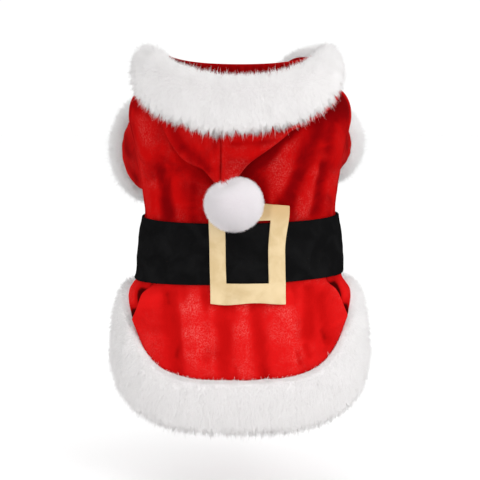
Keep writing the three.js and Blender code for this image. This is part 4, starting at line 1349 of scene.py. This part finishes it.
class COAT_OT_hood(bpy.types.Operator):
    """Add the two halves of the hood, thrown back and joined on a seam"""

    bl_idname = "coat.hood"
    bl_label = "Hood"

    def execute(self, context):
        sizes = context.scene.coat_sizes
        for name, side in (("left", -1), ("right", 1)):
            angles = hood_angles(side, *HOOD_COLUMNS)
            if side < 0:
                angles = angles[::-1]
            z, off = hood_grid(angles, HOOD_ROWS)
            angle = angles[None, :] + 0 * z
            smooth = body_point(angle, z)
            outer = np.zeros(z.shape)
            outer[: HOOD_ROWS["rows_trim"] + HOOD_ROWS["rows_point"]] = 1
            on_back = smooth[..., 1] < 0
            fold = fold_height(HOOD_FOLDS, smooth[..., 0], z) * on_back * outer
            away = np.where(on_back, np.abs(smooth[..., 0] - HOOD_SEAM_X), FAR_AWAY)
            ridge = HOOD_SEAM_LIFT * np.exp(-(((away - HOOD_SEAM_WIDTH) / HOOD_RIDGE_WIDTH) ** 2))
            fold = fold + (ridge + HOOD_SEAM_DEPTH * seam_dip(away, sizes)) * outer
            crush = HOOD_CRUSH["height"] * wobble(smooth, HOOD_CRUSH["size"], HOOD_CRUSH["seed"])
            fold = fold + crush * outer * (1 - np.exp(-((away / HOOD_CRUSH_FREE) ** 2)))
            loose = hood_looseness(z, side, smooth)
            points = smooth + (off + fold + loose)[..., None] * body_normal(angle, z)
            # The stored fold carries painted highlight where the hood stands off.
            piece = cloth_piece(context, f"hood_{name}_cloth", points, fold + HOOD_LOOSE_HIGHLIGHT * loose)
            attach(piece, "red_velvet", f"hood_{name}")
        return {"FINISHED"}


class COAT_OT_belt(bpy.types.Operator):
    """Add the wide black velvet belt"""

    bl_idname = "coat.belt"
    bl_label = "Belt"

    def execute(self, context):
        thick = context.scene.coat_sizes.belt / MM
        angle = np.linspace(0, 360, BELT_COLUMNS, endpoint=False)[None, :]
        share, out, past = round_section(*BELT_SECTION)
        belt_share = mix(BELT_SHARE_TOP, BELT_SHARE_BOTTOM, share)
        z = height_at(angle, belt_share) - past * thick / 2
        smooth = body_point(angle, z)
        slack = sum(part["height"] * wobble(smooth, part["size"], part["seed"])
                    for part in (LARGE_SLACK, SMALL_SLACK))
        points = coat_point(angle, z, SEAM_GAP + out * (thick + slack))
        piece = make_piece("belt_velvet", points.reshape(-1, 3),
                           grid_faces(*z.shape, around=True, tube=True), belt_velvet(context))
        attach(piece, "black_velvet", "belt")
        return {"FINISHED"}


class COAT_OT_buckle(bpy.types.Operator):
    """Add the flat soft buckle frame on the belt"""

    bl_idname = "coat.buckle"
    bl_label = "Buckle"

    def execute(self, context):
        sizes = context.scene.coat_sizes
        window = BUCKLE_WINDOW
        bar, wide, high, low_bar = BUCKLE_CELLS.values()
        x = np.concatenate([
            np.linspace(BUCKLE["left"], window["left"], bar, endpoint=False),
            np.linspace(window["left"], window["right"], wide, endpoint=False),
            np.linspace(window["right"], BUCKLE["right"], bar),
        ])[None, :]
        z = np.concatenate([
            np.linspace(BUCKLE["top"], window["top"], bar, endpoint=False),
            np.linspace(window["top"], window["bottom"], high, endpoint=False),
            np.linspace(window["bottom"], BUCKLE["bottom"], low_bar),
        ])[:, None]
        lean = BUCKLE["lean"] * ease(x, 0, BUCKLE["right"]) * ease(z, BUCKLE_LEANS_FROM, BUCKLE["top"])
        low = ease(z, window["bottom"], BUCKLE["bottom"])
        wave = BUCKLE["wave"] * np.sin(x / BUCKLE_WAVE_LENGTH) * low
        low_lean = BUCKLE["low_lean"] * ease(z, BUCKLE_LEANS_FROM, BUCKLE["bottom"])
        bend = BUCKLE_BEND["depth"] * np.sin(z / BUCKLE_BEND["length"])
        across = x + lean + low_lean + bend
        level, middle = BUCKLE_TOP_LEVEL
        slope = BUCKLE_TOP_SLOPE * (np.maximum(x, level) - middle)
        place = z + wave + slope * ease(z, window["top"], BUCKLE["top"])
        lowest = 3 * SEAM_GAP + sizes.belt / MM + sizes.buckle / MM
        smooth = np.stack(np.broadcast_arrays(x, 0.0, z), -1)
        uneven = wobble(smooth, BUCKLE_SOFTNESS["size"], BUCKLE_SOFTNESS["seed"])
        low_wave = BUCKLE_LOW_WAVE["height"] * low * np.sin(x / BUCKLE_LOW_WAVE["length"])
        soft = BUCKLE_SOFTNESS["height"] * uneven + low_wave
        points = coat_point(angle_across(across, place), place, lowest + soft)
        rows, columns = points.shape[:2]
        faces = grid_faces(rows, columns)
        row, column = faces[:, 0] // columns, faces[:, 0] % columns
        inside = (row >= bar) & (row < bar + high) & (column >= bar) & (column < bar + wide)
        faces = faces[~inside]
        used, faces = np.unique(faces, return_inverse=True)
        piece = make_piece("buckle_frame", points.reshape(-1, 3)[used], faces.reshape(-1, 4),
                           gold_cloth(context))
        make_wall(piece, sizes.buckle)
        piece.modifiers["wall"].material_offset = 0
        edge = piece.modifiers.new("edge", "BEVEL")
        edge.width = BUCKLE_EDGE["width"]
        edge.segments = BUCKLE_EDGE["segments"]
        edge.limit_method = "ANGLE"
        edge.angle_limit = math.radians(BUCKLE_EDGE["angle"])
        attach(piece, "gold_cloth", "buckle")
        return {"FINISHED"}


def plush_backing(name, outer, inner, finish, fullness):
    """The closed body of a plush trim under its pile."""
    grid = np.concatenate([outer, inner[::-1]])
    faces = grid_faces(*grid.shape[:2], around=True, tube=True)
    piece = make_piece(name, grid.reshape(-1, 3), faces, finish)
    # The backing takes the roots' painted shade, deepest on its inner face.
    keep_values(piece, "height", np.concatenate([fullness * BACKING_SHADE, 0 * fullness]))
    return piece


def backing_height(points, share, thickness, backing):
    """How far a trim's backing stands off, full between its edges and a little uneven."""
    full = plush_fullness(share)
    uneven = backing["height"] * wobble(points, backing["size"], backing["seed"])
    return full * (thickness * backing["share"]) + uneven * full


def trim_pile(context, name, grid, count, comb, finish, settings):
    """Pile of a trim's length and width on its backing."""
    pile = context.scene.coat_pile
    strands = grow_pile(name, grid, count, pile.trim_length / MM, pile.strand_width / MM, comb, finish,
                        **settings)
    attach(strands, "white_plush")
    return strands


class COAT_OT_hem_trim(bpy.types.Operator):
    """Add the hem's plush trim, its pile stroked down"""

    bl_idname = "coat.hem_trim"
    bl_label = "Hem trim"

    def execute(self, context):
        sizes, pile = context.scene.coat_sizes, context.scene.coat_pile
        finish = plush_finish("trim_plush", context.scene.coat_colours.plush)
        angle = np.linspace(0, 360, HEM_COLUMNS, endpoint=False)[None, :]
        share = np.linspace(0, 1, TRIM_ROWS)[:, None]
        top, lower = round_line("hem", angle) - SEAM_GAP, round_line("plush", angle) + HEM_EDGE_LIFT
        z = mix(top, lower, share)
        full = backing_height(body_point(angle, z), share, sizes.plush / MM, HEM_BACKING)
        outer = coat_point(angle, z, full)
        inner = coat_point(angle, z, 0 * z - sizes.cloth / MM)
        backing = plush_backing("hem_plush", outer, inner, finish, full / full.max())
        attach(backing, "white_plush", "hem_trim")

        def comb(share):
            return mix(*HEM_STROKE, ease(share, *HEM_STROKE_OVER))

        strands = trim_pile(context, "hem_pile", outer, pile.hem_strands, comb, finish, HEM_PILE)
        return {"FINISHED"}


class COAT_OT_hood_trim(bpy.types.Operator):
    """Add the hood's plush trim, its pile falling to both edges"""

    bl_idname = "coat.hood_trim"
    bl_label = "Hood trim"

    def execute(self, context):
        pile = context.scene.coat_pile
        finish = plush_finish("trim_plush", context.scene.coat_colours.plush)
        angles = np.linspace(-180, 180, HOOD_TRIM_COLUMNS, endpoint=False)
        z, off = hood_grid(angles, HOOD_TRIM_ROWS)
        lower = HOOD_TRIM_LOWER * ease(np.abs(angles), *HOOD_LOWER_FADE)
        aside = (angles - HOOD_BUMP["angle"]) / HOOD_BUMP["width"]
        lower = lower + HOOD_BUMP_LOWER * np.exp(-(aside ** 2))
        z, off = z[:TRIM_ROWS] - lower * np.linspace(1, 0, TRIM_ROWS)[:, None], off[:TRIM_ROWS]
        share = np.linspace(0, 1, TRIM_ROWS)[:, None]
        angle = angles[None, :] + 0 * z
        smooth, normal = body_point(angle, z), body_normal(angle, z)
        thickness = read_table(HOOD_TRIM, "angle", "thickness", angle)
        full = backing_height(smooth, share, thickness, HOOD_BACKING)
        outer = smooth + (off + HOOD_BACKING_OFF + full)[..., None] * normal
        inner = smooth + (off + HOOD_BACKING_INSIDE)[..., None] * normal
        backing = plush_backing("hood_plush", outer, inner, finish, full / full.max())
        attach(backing, "white_plush", "hood_trim")

        def comb(share):
            return mix(*HOOD_STROKE, ease(share, *HOOD_STROKE_OVER))

        strands = trim_pile(context, "hood_pile", outer, pile.hood_strands, comb, finish, HOOD_PILE)
        return {"FINISHED"}


class COAT_OT_cuffs(bpy.types.Operator):
    """Add the plush cuffs on both sleeves"""

    bl_idname = "coat.cuffs"
    bl_label = "Cuffs"

    def execute(self, context):
        sizes, pile = context.scene.coat_sizes, context.scene.coat_pile
        finish = plush_finish("trim_plush", context.scene.coat_colours.plush)
        for name, sleeve in SLEEVES.items():
            turn = np.linspace(0, 2 * np.pi, RING_COLUMNS, endpoint=False)[None, :]
            if sleeve["side"] < 0:
                turn = turn[:, ::-1]
            share = np.linspace(0, 1, CUFF_ROWS)[:, None]
            along = SEAM_GAP + CUFF_LENGTH * share
            grow = sizes.plush / MM * CUFF_BACKING_SHARE * plush_fullness(share)
            outer = cuff_ring(sleeve, turn, grow, along)
            inner = cuff_ring(sleeve, turn, -sizes.cloth / MM + 0 * share, along)
            full = plush_fullness(share) + 0 * turn
            backing = plush_backing(f"cuff_{name}_plush", outer, inner, finish, full)
            attach(backing, "white_plush", f"cuff_{name}")

            def comb(share):
                return mix(*CUFF_STROKE, share)

            strands = trim_pile(context, f"cuff_{name}_pile", outer, pile.cuff_strands, comb, finish,
                                CUFF_PILE)
        return {"FINISHED"}


class COAT_OT_pompom(bpy.types.Operator):
    """Add the round pompom at the hood's tip"""

    bl_idname = "coat.pompom"
    bl_label = "Pompom"

    def execute(self, context):
        pile = context.scene.coat_pile
        finish = plush_finish("pompom_plush", context.scene.coat_colours.pompom)
        rows, columns = POMPOM_CELLS
        drop = np.linspace(POMPOM_POLE, np.pi - POMPOM_POLE, rows)[:, None]
        turn = np.linspace(0, 2 * np.pi, columns, endpoint=False)[None, :]
        way = np.stack(np.broadcast_arrays(np.sin(drop) * np.cos(turn), np.sin(drop) * np.sin(turn),
                                           np.cos(drop)), -1)
        notch = unit(np.array(POMPOM_NOTCH["way"], float))
        near = np.exp(-((np.linalg.norm(way - notch, axis=-1) / POMPOM_NOTCH["width"]) ** 2))
        back = mix(POMPOM["low_back"], POMPOM["high_back"], np.maximum(0, way[..., 2]))
        depth = np.where(way[..., 1] < 0, POMPOM["front"], back)
        reach = np.stack(np.broadcast_arrays(POMPOM["half_width"], depth, POMPOM["half_height"]), -1)
        reach = reach * (1 - POMPOM_NOTCH["depth"] * near)[..., None]
        centre = np.array([POMPOM["x"], POMPOM["y"], POMPOM["z"]], float)
        inset = pile.pompom_length / MM * POMPOM_INSET
        ball = centre + way * (reach - inset)
        faces = grid_faces(rows, columns, around=True)
        piece = make_piece("pompom_ball", ball.reshape(-1, 3), faces, finish)
        # The ball takes the roots' painted shade.
        keep_values(piece, "height", np.full(ball.shape[:2], BACKING_SHADE))
        attach(piece, "white_plush", "pompom")
        strands = grow_pile("pompom_pile", ball, pile.pompom_strands, pile.pompom_length / MM,
                            pile.strand_width / MM, np.zeros_like, finish, **POMPOM_PILE)
        attach(strands, "white_plush")
        return {"FINISHED"}


class COAT_PT_builder(bpy.types.Panel):
    """Lists the coat's pieces, sizes and colours"""

    bl_idname = "COAT_PT_builder"
    bl_label = "Dog coat"
    bl_space_type = "VIEW_3D"
    bl_region_type = "UI"
    bl_category = "Coat"

    def draw(self, context):
        column = self.layout.column(align=True)
        for operator in OPERATORS:
            column.operator(operator.bl_idname)
        for label, group in SETTINGS:
            box = self.layout.box()
            box.label(text=label)
            settings = getattr(context.scene, group)
            for name in settings.bl_rna.properties.keys():
                if name not in ("rna_type", "name"):
                    box.prop(settings, name)


OPERATORS = (
    COAT_OT_stage,
    COAT_OT_back_panel,
    COAT_OT_belly_panel,
    COAT_OT_sleeves,
    COAT_OT_neck_casing,
    COAT_OT_hood,
    COAT_OT_belt,
    COAT_OT_buckle,
    COAT_OT_hem_trim,
    COAT_OT_hood_trim,
    COAT_OT_cuffs,
    COAT_OT_pompom,
)
GROUPS = {
    "coat_sizes": CoatSizes,
    "coat_pile": PileSettings,
    "coat_colours": CoatColours,
    "coat_stage": StageSettings,
}
SETTINGS = (
    ("Sizes", "coat_sizes"),
    ("Pile", "coat_pile"),
    ("Colours", "coat_colours"),
    ("Stage", "coat_stage"),
)


def register():
    for group in GROUPS.values():
        bpy.utils.register_class(group)
    for operator in OPERATORS:
        bpy.utils.register_class(operator)
    bpy.utils.register_class(COAT_PT_builder)
    for name, group in GROUPS.items():
        setattr(bpy.types.Scene, name, bpy.props.PointerProperty(type=group))


def unregister():
    for name in GROUPS:
        delattr(bpy.types.Scene, name)
    bpy.utils.unregister_class(COAT_PT_builder)
    for operator in reversed(OPERATORS):
        bpy.utils.unregister_class(operator)
    for group in reversed(GROUPS.values()):
        bpy.utils.unregister_class(group)


def main():
    register()
    bpy.ops.coat.stage()
    bpy.ops.coat.back_panel()
    bpy.ops.coat.belly_panel()
    bpy.ops.coat.sleeves()
    bpy.ops.coat.neck_casing()
    bpy.ops.coat.hood()
    bpy.ops.coat.belt()
    bpy.ops.coat.buckle()
    bpy.ops.coat.hem_trim()
    bpy.ops.coat.hood_trim()
    bpy.ops.coat.cuffs()
    bpy.ops.coat.pompom()


if __name__ == "__main__":
    main()
